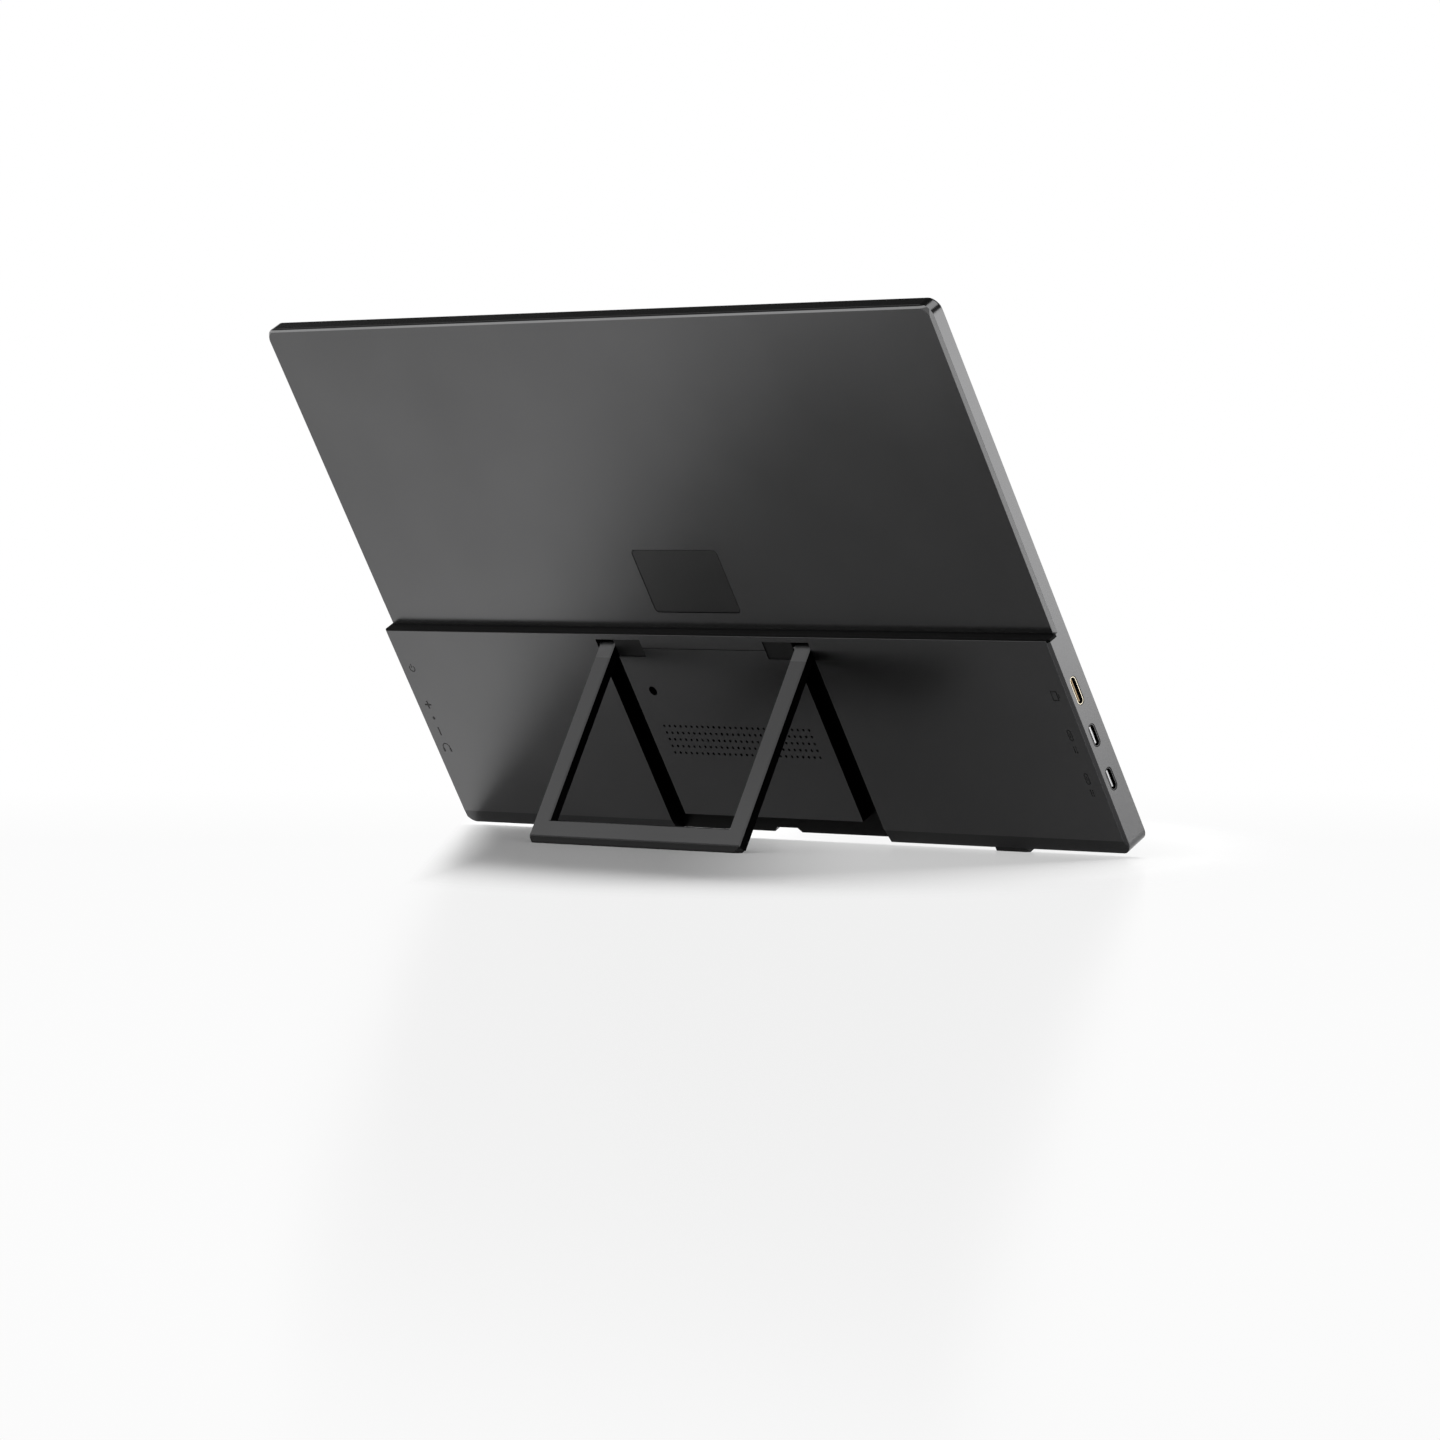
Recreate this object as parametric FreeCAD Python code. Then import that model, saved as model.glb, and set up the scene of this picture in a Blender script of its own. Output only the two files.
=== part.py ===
import FreeCAD, Part
import math
import os

# Portable monitor with a fold-out stand. Each piece is drawn in the panel's own frame, then leaned back.
# x runs towards the control side, v runs up the panel and t runs forward from the rear face.

# Housing
body_width = 356.0
body_height = 223.0
body_depth = 11.2
step_depth = 4.8
ledge_height = 90.2
ledge_fillet = 0.3
ledge_edge = 0.4
top_corner = 5.0
bottom_corner = 4.6
edge_chamfer = 1.1
taper_height = 6.2
taper_depth = 1.2
side_wall = 1.5
back_wall = 1.2
lean = 30.0

# Support ribs behind the panel
rib_thickness = 1.0
rib_pitch = 44.0
rib_margin = 6.0

# Front frame
bezel_plate = 0.9
bezel_edge = 0.35
bezel_side = 5.5
bezel_top = 4.8
bezel_bottom = 24.0
bezel_flange = 1.0
bezel_flange_depth = 1.3
bezel_gap = 0.15

# Panel stack, from the front
gasket_thickness = 0.3
gasket_lip = 0.3
cell_thickness = 1.1
film_thickness = 0.4
guide_thickness = 0.6
reflector_thickness = 0.2
tray_sheet = 0.4
tray_gap = 0.35
stack_gap = 0.1
tray_below_screen = 8.0
led_bar_thickness = 0.3
led_size = 1.2
led_height = 0.5
led_pitch = 12.0

# Stand
stand_width = 113.2
leg_width = 8.2
leg_thickness = 4.0
leg_inset = 0.3
leg_chamfer = 0.5
bar_top = 8.9
strip_top = 1.9
strip_overhang = 0.5
strip_inset = 0.4
strip_round = 0.8
strip_corner = 1.9
tongue_height = 1.4
tongue_thickness = 1.2
stand_gap = 0.6
floor_gap = 0.4
recess_wall = 1.0
arm_length = 6.4
tenon_length = 10.0
tenon_width = 4.0
tenon_thickness = 2.0
tenon_gap = 0.05

# Stand hinge
hinge_drop = 6.3
pocket_height = 7.5
cover_length = 14.8
cover_sink = 0.3
cover_plate = 0.45
cover_gap = 0.15
cover_seat = 0.8
shaft_radius = 1.0
shaft_clearance = 0.05
shaft_stop = 1.5
rivet_radius = 1.45
rivet_length = 0.8
washer_thickness = 0.5
washer_gap = 0.05
washer_clearance = 0.12
washer_count = 2
leaf_length = 15.0
leaf_thickness = 1.0
leaf_screw_offset = 7.5
leaf_screw_pitch = 5.0

# Finger notch under the stand
notch_width = 14.6
notch_slope = 1.8
notch_height = 1.9
notch_depth = 3.0

# Feet
foot_height = 1.4
foot_from_side = 61.0
foot_length = 16.0
foot_depth = 5.0
foot_setback = 0.4
foot_round = 1.2

# Label plate
label_width = 46.0
label_height = 27.4
label_above_ledge = 6.9
label_round = 2.0
label_thickness = 0.4
label_sink = 0.05
label_gap = 0.3
label_edge = 0.12

# Sides of the small round forms that repeat
grille_sides = 6
small_sides = 8
head_sides = 16
slot_end_sides = 8

# Speaker grille
grille_from_leg = 8.5
grille_rows = 5
grille_pitch = 3.0
grille_hole = 1.3
grille_drop = 46.9
mesh_thickness = 0.2
mesh_margin = 2.5
speaker_spacing = 4.0
speaker_height = 16.0
speaker_depth = 4.5
speaker_rim = 1.8
cone_sink = 1.0
gasket_depth = 0.5

# Screws
screw_radius = 0.7
screw_head = 1.5
screw_head_height = 0.8
screw_bite = 1.5
boss_radius = 2.4
case_screw_from_leg = 10.8
case_screw_drop = 25.2
case_screw_radius = 0.75
case_head_radius = 1.8
case_head_height = 1.2
case_well_radius = 2.0
case_well_depth = 2.9
case_boss_radius = 3.2
case_boss_floor = 2.1
case_post_radius = 2.2
case_thread_end = 0.5

# Boards
board_thickness = 1.0
board_stand_off = 0.75
board_edge_gap = 0.5
board_bottom = 16.0
main_board_length = 96.0
main_board_height = 62.0
board_hole_inset = 4.0
connector_height = 1.25
scaler_size = 14.0
memory_size = 9.0
chip_height = 1.2
chip_spacing = 4.0
coil_size = 6.0
coil_height = 2.4
coil_count = 3
coil_pitch = 10.0
coil_from_edge = 20.0
ribbon_thickness = 0.3
ribbon_width = 8.0
ribbon_lift = 0.6
control_ribbon_drop = 34.2
speaker_lead_width = 3.0
panel_board_half = 110.0
panel_board_height = 12.0
panel_board_thickness = 0.9

# Sockets on the port side
video_drop = 23.3
usb_upper_drop = 42.0
usb_lower_drop = 60.3
video_size = (11.2, 3.2)
usb_size = (8.94, 3.26)
socket_wall = 0.3
socket_depth = 7.4
socket_inset = 0.15
socket_gap = 0.25
tongue_inset = 0.7
tongue_setback = 1.2
tongue_plate = 0.7
tongue_margin = 1.1

# Controls on the other side
power_drop = 17.6
jog_drop = 40.7
jack_drop = 54.5
control_board_width = 24.0
control_board_margin = 10.0
key_height_over_board = 1.63
button_length = 9.0
button_thickness = 2.4
button_proud = 0.6
button_flange = 0.7
button_flange_thickness = 1.2
button_travel = 0.4
button_stem = 1.2
control_gap = 0.25
wheel_radius = 5.5
wheel_thickness = 2.4
wheel_proud = 0.9
wheel_notches = 24
wheel_notch_depth = 0.3
wheel_pin = 0.9
wheel_lift = 0.1
wheel_base_thickness = 0.35
wheel_base_radius = 2.8
wheel_cap = 1.6
wheel_cap_thickness = 0.4
jack_bore = 1.8
jack_bore_depth = 14.0
jack_height = 4.0
jack_width = 6.4
jack_length = 14.6
jack_collar = 2.4
jack_inset = 0.2

# Worked-out places, all from the sizes above
half_width = body_width / 2
cover_front = body_depth - bezel_plate
wall_inside = half_width - side_wall
stack_front = cover_front - gasket_thickness
cell_back = stack_front - cell_thickness
film_back = cell_back - film_thickness
guide_back = film_back - guide_thickness
tray_floor = guide_back - reflector_thickness
tray_back = tray_floor - tray_sheet
tray_half = wall_inside - bezel_gap - bezel_flange - tray_gap
tray_top = body_height - side_wall - bezel_gap - bezel_flange - tray_gap
tray_bottom = bezel_bottom - tray_below_screen
stand_half = stand_width / 2
leg_inner = stand_half - leg_width
recess_half = stand_half + stand_gap
panel_half = leg_inner - stand_gap
recess_depth = leg_inset + leg_thickness + floor_gap
hinge_v = ledge_height - hinge_drop
hinge_t = leg_inset + leg_thickness / 2
pocket_top = hinge_v + pocket_height / 2
cover_back = cover_sink + cover_plate
cover_inner = panel_half - cover_length
barrel_radius = hinge_t - cover_back - shaft_clearance
rivet_start = cover_inner + cover_seat + cover_gap
washer_start = rivet_start + rivet_length + washer_gap
barrel_start = washer_start + washer_count * (washer_thickness + washer_gap)
barrel_end = panel_half - stand_gap
leaf_front = hinge_t + barrel_radius
leaf_back = leaf_front - leaf_thickness
leaf_end = panel_half - recess_wall - control_gap
leaf_middle = (barrel_start + leaf_end) / 2
leaf_screws = [hinge_v - leaf_screw_offset, hinge_v - leaf_screw_offset - leaf_screw_pitch]
case_screw_x = panel_half - case_screw_from_leg
case_screw_v = ledge_height - case_screw_drop
case_boss_front = case_well_depth + case_boss_floor
grille_v = ledge_height - grille_drop
grille_reach = int((panel_half - grille_from_leg) // grille_pitch)
grille_half = grille_reach * grille_pitch
grille_half_height = (grille_rows - 1) * grille_pitch / 2
speaker_half = grille_half + grille_hole / 2
speaker_back = back_wall + mesh_thickness + gasket_depth
speaker_front = speaker_back + speaker_depth
board_back = back_wall + board_stand_off
board_front = board_back + board_thickness
board_edge = wall_inside - board_edge_gap
connector_top = board_front + connector_height
ribbon_top = tray_back - ribbon_lift
key_t = board_front + key_height_over_board
wheel_x = half_width + wheel_proud - wheel_radius
power_v = ledge_height - power_drop
jog_v = ledge_height - jog_drop
jack_v = ledge_height - jack_drop
jack_t = board_front + jack_height / 2
foot_x = half_width - foot_from_side
tiny = 1e-4

# Lean of the panel and opening of the stand that brings its strip down to the same floor as the feet
lean_sin = math.sin(math.radians(lean))
lean_cos = math.cos(math.radians(lean))
floor_level = taper_depth * lean_sin - foot_height
hinge_level = hinge_v * lean_cos + hinge_t * lean_sin
stand_swing = math.degrees(math.acos((hinge_level - floor_level) / hinge_v)) + lean


def point(x, v, t):
    """Place in the panel's frame: across, up the panel and forward from the rear face."""
    return FreeCAD.Vector(x, -t, v)


def block(x0, x1, v0, v1, t0, t1):
    """Box between two places in each direction."""
    return Part.makeBox(x1 - x0, t1 - t0, v1 - v0, point(x0, v0, t1))


def rod_x(x0, x1, v, t, radius):
    """Round bar across the panel."""
    return Part.makeCylinder(radius, x1 - x0, point(x0, v, t), FreeCAD.Vector(1, 0, 0))


def rod_t(x, v, t0, t1, radius):
    """Round bar square to the panel."""
    return Part.makeCylinder(radius, t1 - t0, point(x, v, t1), FreeCAD.Vector(0, 1, 0))


def prism(corners, direction):
    """Solid swept from a closed outline of points."""
    return Part.Face(Part.makePolygon(corners + corners[:1])).extrude(direction)


def prism_x(outline, x0, x1):
    """Outline of (v, t) places swept across the panel."""
    return prism([point(x0, v, t) for v, t in outline], FreeCAD.Vector(x1 - x0, 0, 0))


def prism_v(outline, v0, v1):
    """Outline of (x, t) places swept up the panel."""
    return prism([point(x, v0, t) for x, t in outline], FreeCAD.Vector(0, 0, v1 - v0))


def prism_t(outline, t0, t1):
    """Outline of (x, v) places swept through the thickness."""
    return prism([point(x, v, t1) for x, v in outline], FreeCAD.Vector(0, t1 - t0, 0))


def sided_outline(a, b, radius, sides):
    """Corners of a many-sided outline on a circle about a place."""
    turns = [2 * math.pi * (index + 0.5) / sides for index in range(sides)]
    return [(a + radius * math.cos(turn), b + radius * math.sin(turn)) for turn in turns]


def sided_rod(x, v, t0, t1, radius, sides=small_sides):
    """Many-sided bar square to the panel."""
    return prism_t(sided_outline(x, v, radius, sides), t0, t1)


def arc(start, centre, end):
    """Quarter arc from start to end about a centre."""
    bend = (start - centre) + (end - centre)
    middle = centre + bend * ((start - centre).Length / bend.Length)
    return Part.Arc(start, middle, end).toShape()


def rounded_plate(half, v0, v1, t0, t1, low_radius, high_radius):
    """Plate centred across the panel, with its own radius at the lower and the upper corners."""
    corners = [(half, v0, low_radius), (half, v1, -high_radius)]
    corners += [(-half, v1, -high_radius), (-half, v0, low_radius)]
    edges = []
    for index, (x, v, rise) in enumerate(corners):
        inward_x = x - math.copysign(rise, x)
        inward_v = v + rise
        ends = [point(inward_x, v, t1), point(x, inward_v, t1)]
        if index % 2:
            ends.reverse()
        edges.append(arc(ends[0], point(inward_x, inward_v, t1), ends[1]))
    joined = []
    for index, edge in enumerate(edges):
        following = edges[(index + 1) % len(edges)]
        joined.append(edge)
        joined.append(Part.makeLine(edge.lastVertex().Point, following.firstVertex().Point))
    return Part.Face(Part.Wire(joined)).extrude(FreeCAD.Vector(0, t1 - t0, 0))


def stadium_x(x0, x1, v, t, length, height):
    """Bar across the panel with rounded ends, longer up the panel than it is thick."""
    radius = height / 2
    reach = length / 2 - radius
    turns = [math.pi * index / slot_end_sides for index in range(slot_end_sides + 1)]
    outline = [
        (v + side * (reach + radius * math.sin(turn)), t + side * radius * math.cos(turn))
        for side in (1, -1) for turn in turns
    ]
    return prism_x(outline, x0, x1)


def mirrored(shape):
    """The same shape on the other side of the centre line."""
    return shape.mirror(FreeCAD.Vector(0, 0, 0), FreeCAD.Vector(1, 0, 0))


def both_sides(shape):
    """A shape and its mirror image."""
    return [shape, mirrored(shape)]


def bevel(depth, v0, v1):
    """Wedge that takes the edge chamfer off a rear face lying at a depth."""
    start = half_width - edge_chamfer - depth - 1
    return prism_v([(start, -1), (half_width + 1, depth + edge_chamfer + 1), (half_width + 1, -1)], v0, v1)


def edges_at(shape, depth):
    """Edges that lie wholly at one depth."""
    return [edge for edge in shape.Edges if all(abs(end.Point.y + depth) < tiny for end in edge.Vertexes)]


def upper_housing():
    """Thin slab over the whole outline, with its rear edge chamfered all round."""
    slab = rounded_plate(half_width, 0, body_height, step_depth, cover_front, bottom_corner, top_corner)
    return slab.makeChamfer(edge_chamfer, edges_at(slab, step_depth))


def lower_housing():
    """Thicker lower part: tapered along the bottom, with a small fillet where its ledge meets the slab."""
    fillet_top = ledge_height + ledge_fillet
    hollow = arc(
        point(0, ledge_height, step_depth - ledge_fillet),
        point(0, fillet_top, step_depth - ledge_fillet),
        point(0, fillet_top, step_depth),
    )
    corners = [(fillet_top, step_depth), (fillet_top, cover_front), (0, cover_front), (0, taper_depth)]
    corners += [(taper_height, 0), (ledge_height - ledge_edge, 0), (ledge_height, ledge_edge)]
    corners += [(ledge_height, step_depth - ledge_fillet)]
    sides = Part.makePolygon([point(0, v, t) for v, t in corners])
    face = Part.Face(Part.Wire([hollow] + sides.Edges))
    swept = face.extrude(FreeCAD.Vector(body_width, 0, 0)).translated(FreeCAD.Vector(-half_width, 0, 0))
    outline = rounded_plate(half_width, 0, body_height, 0, cover_front, bottom_corner, top_corner)
    wedges = both_sides(bevel(0, -1, ledge_height))
    wedges += both_sides(bevel(step_depth, ledge_height, fillet_top + 1))
    return swept.common(outline).cut(wedges)


def housing_inside():
    """Hollow that the walls of the housing leave."""
    wide = [(side_wall, taper_depth + back_wall), (taper_height, back_wall)]
    wide += [(ledge_height - back_wall, back_wall), (ledge_height - back_wall, step_depth + back_wall)]
    wide += [(body_height - side_wall, step_depth + back_wall), (body_height - side_wall, body_depth)]
    wide += [(side_wall, body_depth)]
    low_radius = max(bottom_corner - side_wall, side_wall / 3)
    high_radius = max(top_corner - side_wall, side_wall / 3)
    outline = rounded_plate(
        wall_inside, side_wall, body_height - side_wall, 0, body_depth, low_radius, high_radius
    )
    return prism_x(wide, -wall_inside, wall_inside).common(outline)


def stand_recess(grown, depth):
    """Space of the folded stand, grown by a wall on all sides."""
    outer = recess_half + grown
    bar = block(-outer, outer, -1, bar_top + floor_gap + grown, -1, depth)
    leg = block(panel_half - grown, outer, -1, pocket_top + grown, -1, depth)
    return bar.fuse(both_sides(leg)).removeSplitter()


def tray_ribs():
    """Upright and level ribs on the upper back that carry the panel's tray."""
    low = ledge_height + rib_margin
    high = body_height - side_wall
    columns = int((wall_inside - rib_margin) // rib_pitch)
    back = step_depth + back_wall / 2
    half = rib_thickness / 2
    ribs = [
        block(column * rib_pitch - half, column * rib_pitch + half, low, high, back, tray_back)
        for column in range(-columns, columns + 1)
    ]
    rows = int((high - low) // rib_pitch)
    reach = columns * rib_pitch
    for row in range(rows + 1):
        level = low + row * rib_pitch
        ribs.append(block(-reach, reach, level, level + rib_thickness, back, tray_back))
    return ribs


def board_holes(x0, x1, v0, v1):
    """Places of the four screws near the corners of a board."""
    return [(x, v) for x in (x0 + board_hole_inset, x1 - board_hole_inset)
            for v in (v0 + board_hole_inset, v1 - board_hole_inset)]


main_board_area = (
    -board_edge,
    -board_edge + main_board_length,
    board_bottom,
    board_bottom + main_board_height,
)
control_board_area = (
    board_edge - button_flange_thickness - button_travel - control_board_width,
    board_edge - button_flange_thickness - button_travel,
    jack_v - control_board_margin,
    power_v + control_board_margin,
)
board_screw_places = board_holes(*main_board_area) + board_holes(*control_board_area)
leaf_screw_places = [(side * leaf_middle, v) for side in (1, -1) for v in leaf_screws]
case_screw_places = [(side * case_screw_x, case_screw_v) for side in (1, -1)]


def housing_bosses():
    """Posts inside the housing: under the boards, under the hinge leaves and round the case screws."""
    root = back_wall / 2
    posts = [sided_rod(x, v, root, board_back, boss_radius) for x, v in board_screw_places]
    posts += [sided_rod(x, v, root, leaf_back, boss_radius) for x, v in leaf_screw_places]
    posts += [sided_rod(x, v, root, case_boss_front, case_boss_radius) for x, v in case_screw_places]
    return posts


def screw_holes():
    """Pilot holes of the inside screws and the stepped holes of the case screws."""
    pilots = [(x, v, board_back) for x, v in board_screw_places]
    pilots += [(x, v, leaf_back) for x, v in leaf_screw_places]
    holes = [sided_rod(x, v, seat - screw_bite, seat, screw_radius) for x, v, seat in pilots]
    for x, v in case_screw_places:
        holes.append(rod_t(x, v, -1, case_well_depth, case_well_radius))
        holes.append(sided_rod(x, v, 0, case_boss_front, case_screw_radius + shaft_clearance))
    return holes


def hinge_windows():
    """Seat of each hinge cover plate, the window under it and the thin seam between the two pockets."""
    low = hinge_v - pocket_height / 2
    seat = block(cover_inner, panel_half, low, pocket_top, -1, cover_back)
    window = block(
        cover_inner + cover_seat, panel_half, low + cover_seat, pocket_top - cover_seat,
        -1, recess_depth + recess_wall,
    )
    seam = block(-cover_inner, cover_inner, hinge_v - cover_gap, hinge_v + cover_gap, -1, cover_gap)
    return both_sides(seat) + both_sides(window) + [seam]


def grille_holes():
    """Holes of the speaker grille on a square pitch."""
    low = grille_v - grille_half_height
    return [
        sided_rod(column * grille_pitch, low + row * grille_pitch, -1, back_wall + tiny, grille_hole / 2,
                  grille_sides)
        for column in range(-grille_reach, grille_reach + 1) for row in range(grille_rows)
    ]


sockets = {
    "video": (ledge_height - video_drop, video_size),
    "usb_upper": (ledge_height - usb_upper_drop, usb_size),
    "usb_lower": (ledge_height - usb_lower_drop, usb_size),
}


def side_openings():
    """Openings for the sockets on one side and for the button, wheel and jack on the other."""
    cuts = []
    for v, (length, height) in sockets.values():
        middle = board_front + height / 2
        wide = 2 * socket_gap
        cuts.append(stadium_x(-half_width - 1, -wall_inside, v, middle, length + wide, height + wide))
    wide = 2 * control_gap
    cuts.append(stadium_x(wall_inside, half_width + 1, power_v, key_t,
                          button_length + wide, button_thickness + wide))
    wheel_reach = math.sqrt(wheel_radius ** 2 - (wall_inside - wheel_x) ** 2) + control_gap
    wheel_back = board_front + wheel_base_thickness + wheel_lift
    cuts.append(block(wall_inside, half_width + 1, jog_v - wheel_reach, jog_v + wheel_reach,
                      wheel_back - control_gap, wheel_back + wheel_thickness + control_gap))
    cuts.append(rod_x(wall_inside, half_width + 1, jack_v, jack_t, jack_collar + socket_gap))
    return cuts


def finger_notch(grown):
    """Notch in the lower edge under the stand, grown by a wall."""
    half = notch_width / 2 + grown
    top = half - notch_slope
    high = notch_height + grown
    outline = [(-half, -1), (-half, 0), (-top, high), (top, high), (half, 0), (half, -1)]
    return prism_t(outline, recess_depth - 1, recess_depth + notch_depth + grown)


def label_seat():
    """Shallow seat of the label plate."""
    low = ledge_height + label_above_ledge
    return rounded_plate(label_width / 2, low, low + label_height, step_depth - 1,
                         step_depth + label_sink + label_thickness, label_round, label_round)


def rear_cover():
    """Rear housing: shell, lined stand recess, ribs and bosses, then every opening through it."""
    outside = upper_housing().fuse(lower_housing()).removeSplitter()
    lining = [stand_recess(recess_wall, recess_depth + recess_wall), finger_notch(recess_wall)]
    hollow = housing_inside().cut(lining)
    shell = outside.cut(hollow).fuse(tray_ribs() + housing_bosses()).removeSplitter()
    cuts = [stand_recess(0, recess_depth), finger_notch(0), label_seat()]
    cuts += hinge_windows() + side_openings() + screw_holes()
    return shell.cut(cuts).cut(Part.makeCompound(grille_holes()))


def front_bezel():
    """Front frame with a chamfered edge and a flange that fits inside the housing."""
    plate = rounded_plate(half_width, 0, body_height, cover_front, body_depth, bottom_corner, top_corner)
    plate = plate.makeChamfer(bezel_edge, edges_at(plate, body_depth))
    outer = wall_inside - bezel_gap
    low = side_wall + bezel_gap
    high = body_height - low
    flange = rounded_plate(outer, low, high, cover_front - bezel_flange_depth, cover_front,
                           bezel_flange, top_corner - side_wall)
    inner = outer - bezel_flange
    flange = flange.cut(block(-inner, inner, low + bezel_flange, high - bezel_flange, 0, body_depth))
    screen = half_width - bezel_side
    window = block(-screen, screen, bezel_bottom, body_height - bezel_top, 0, body_depth + 1)
    return plate.cut(window).fuse(flange).removeSplitter()


def stack_sheet(t0, t1, low=0.0):
    """One sheet of the panel, inside the walls of its tray, starting a distance above the tray's foot."""
    margin = tray_sheet + stack_gap
    half = tray_half - margin
    return block(-half, half, tray_bottom + margin + low, tray_top - margin, t0, t1)


def panel_gasket():
    """Foam frame between the front frame and the panel."""
    ring = stack_sheet(stack_front, cover_front)
    screen = half_width - bezel_side + gasket_lip
    return ring.cut(block(-screen, screen, bezel_bottom - gasket_lip, body_height - bezel_top + gasket_lip,
                          0, body_depth))


def backlight_tray():
    """Folded sheet tray that holds the panel's sheets."""
    tray = block(-tray_half, tray_half, tray_bottom, tray_top, tray_back, stack_front)
    return tray.cut(block(-tray_half + tray_sheet, tray_half - tray_sheet, tray_bottom + tray_sheet,
                          tray_top - tray_sheet, tray_floor, body_depth))


def led_strip():
    """Bar along the tray's foot with a row of small emitters facing up into the light guide."""
    margin = tray_sheet + stack_gap
    low = tray_bottom + margin
    reach = tray_half - margin
    bar = block(-reach, reach, low, low + led_bar_thickness, tray_floor, film_back)
    count = int((2 * reach - led_pitch) // led_pitch)
    top = low + led_bar_thickness
    places = [(index - count / 2) * led_pitch for index in range(count + 1)]
    emitters = [
        block(x - led_size, x + led_size, top, top + led_height, tray_floor, tray_floor + guide_thickness)
        for x in places
    ]
    return Part.makeCompound([bar] + emitters)


def panel_board():
    """Narrow driver board on the back of the tray, with the socket of the panel cable."""
    low = tray_bottom + tray_gap
    back = tray_back - panel_board_thickness
    board = block(-panel_board_half, panel_board_half, low, low + panel_board_height, back, tray_back)
    middle = main_board_area[1] - 2 * ribbon_width
    high = low + panel_board_height
    socket = block(middle - ribbon_width, middle + ribbon_width, low + panel_board_height / 3, high,
                   back - ribbon_thickness, back)
    return Part.makeCompound([board, socket])


def drilled_board(area):
    """Circuit board with its four screw holes."""
    x0, x1, v0, v1 = area
    board = block(x0, x1, v0, v1, board_back, board_front)
    radius = screw_radius + shaft_clearance
    return board.cut([sided_rod(x, v, 0, body_depth, radius) for x, v in board_holes(*area)])


def on_board(x, v, width, height, tall):
    """Component of a given size standing on a board."""
    top = board_front + tall
    return block(x - width / 2, x + width / 2, v - height / 2, v + height / 2, board_front, top)


panel_cable_x = main_board_area[1] - 2 * ribbon_width
panel_cable_v = board_bottom + main_board_height / 2
control_ribbon_v = ledge_height - control_ribbon_drop
main_connector_x = main_board_area[1] - ribbon_width / 2
control_connector_x = control_board_area[0] + ribbon_width / 2


def board_components():
    """Scaler chip with its memory, power coils and the sockets of the cables."""
    middle_x = (main_board_area[0] + main_board_area[1]) / 2
    middle_v = board_bottom + main_board_height / 2
    memory_v = middle_v + (scaler_size + memory_size) / 2 + chip_spacing
    pieces = [on_board(middle_x, middle_v, scaler_size, scaler_size, chip_height)]
    pieces.append(on_board(middle_x, memory_v, memory_size, memory_size, chip_height))
    coil_v = board_bottom + coil_from_edge / 2
    for index in range(coil_count):
        coil_x = main_board_area[0] + coil_from_edge + coil_pitch * index
        pieces.append(on_board(coil_x, coil_v, coil_size, coil_size, coil_height))
    connectors = [(panel_cable_x, panel_cable_v, 2 * ribbon_width, ribbon_width)]
    connectors += [(main_connector_x, grille_v, ribbon_width, speaker_lead_width)]
    connectors += [(x, control_ribbon_v, ribbon_width, ribbon_width)
                   for x in (main_connector_x, control_connector_x)]
    pieces += [on_board(*place, connector_height) for place in connectors]
    return Part.makeCompound(pieces)


def ribbon(path, sweep, low, high):
    """Flat cable of constant thickness over a path of places, swept to its width."""
    return sweep(path + [(a, b + ribbon_thickness) for a, b in reversed(path)], low, high)


def control_ribbon():
    """Flat cable from the main board over the stand recess to the control board."""
    left = control_connector_x
    right = main_connector_x
    rise = ribbon_width
    half = rise / 2
    path = [(left + half, connector_top), (left - half, connector_top), (left - rise, ribbon_top)]
    path += [(right + rise, ribbon_top), (right + half, connector_top), (right - half, connector_top)]
    return ribbon(path, prism_v, control_ribbon_v - half, control_ribbon_v + half)


def speaker_lead():
    """Flat lead that lies along both speakers and drops to the main board."""
    path = [(speaker_half - speaker_rim, speaker_front), (-recess_half - recess_wall, speaker_front)]
    path += [(main_connector_x + side * ribbon_width / 2, connector_top) for side in (1, -1)]
    half = speaker_lead_width / 2
    return ribbon(path, prism_v, grille_v - half, grille_v + half)


def panel_cable():
    """Flat cable from the main board to the driver board on the tray."""
    board_low = tray_bottom + tray_gap
    socket_back = tray_back - panel_board_thickness - ribbon_thickness
    half = ribbon_width / 2
    lower = socket_back - ribbon_thickness
    path = [(panel_cable_v + half, connector_top), (panel_cable_v - half, connector_top)]
    path += [(board_low + panel_board_height, lower), (board_low + panel_board_height / 3, lower)]
    return ribbon(path, prism_x, panel_cable_x - ribbon_width, panel_cable_x + ribbon_width)


def socket_parts(name):
    """Metal shell of one socket and the moulded tongue inside it."""
    v, (length, height) = sockets[name]
    middle = board_front + height / 2
    mouth = -half_width + socket_inset
    back = mouth + socket_depth
    inner_length = length - 2 * socket_wall
    inner_height = height - 2 * socket_wall
    shell = stadium_x(mouth, back, v, middle, length, height)
    shell = shell.cut(stadium_x(mouth - 1, back - socket_wall, v, middle, inner_length, inner_height))
    seat = back - socket_wall - tongue_setback
    flat = (inner_length - inner_height) / 2
    thick = (inner_height - stack_gap) / 2
    tongue = block(seat, back - socket_wall, v - flat, v + flat, middle - thick, middle + thick)
    reach = length / 2 - tongue_margin
    blade = block(mouth + tongue_inset, seat, v - reach, v + reach, middle - tongue_plate / 2,
                  middle + tongue_plate / 2)
    return shell, tongue.fuse(blade).removeSplitter()


button_flange_x = wall_inside - shaft_clearance - button_flange_thickness


def key_stem(end, half):
    """Square stem behind the power button's flange, or the switch's plunger, up to a place across."""
    return block(end - button_stem, end, power_v - half, power_v + half, key_t - half, key_t + half)


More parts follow.
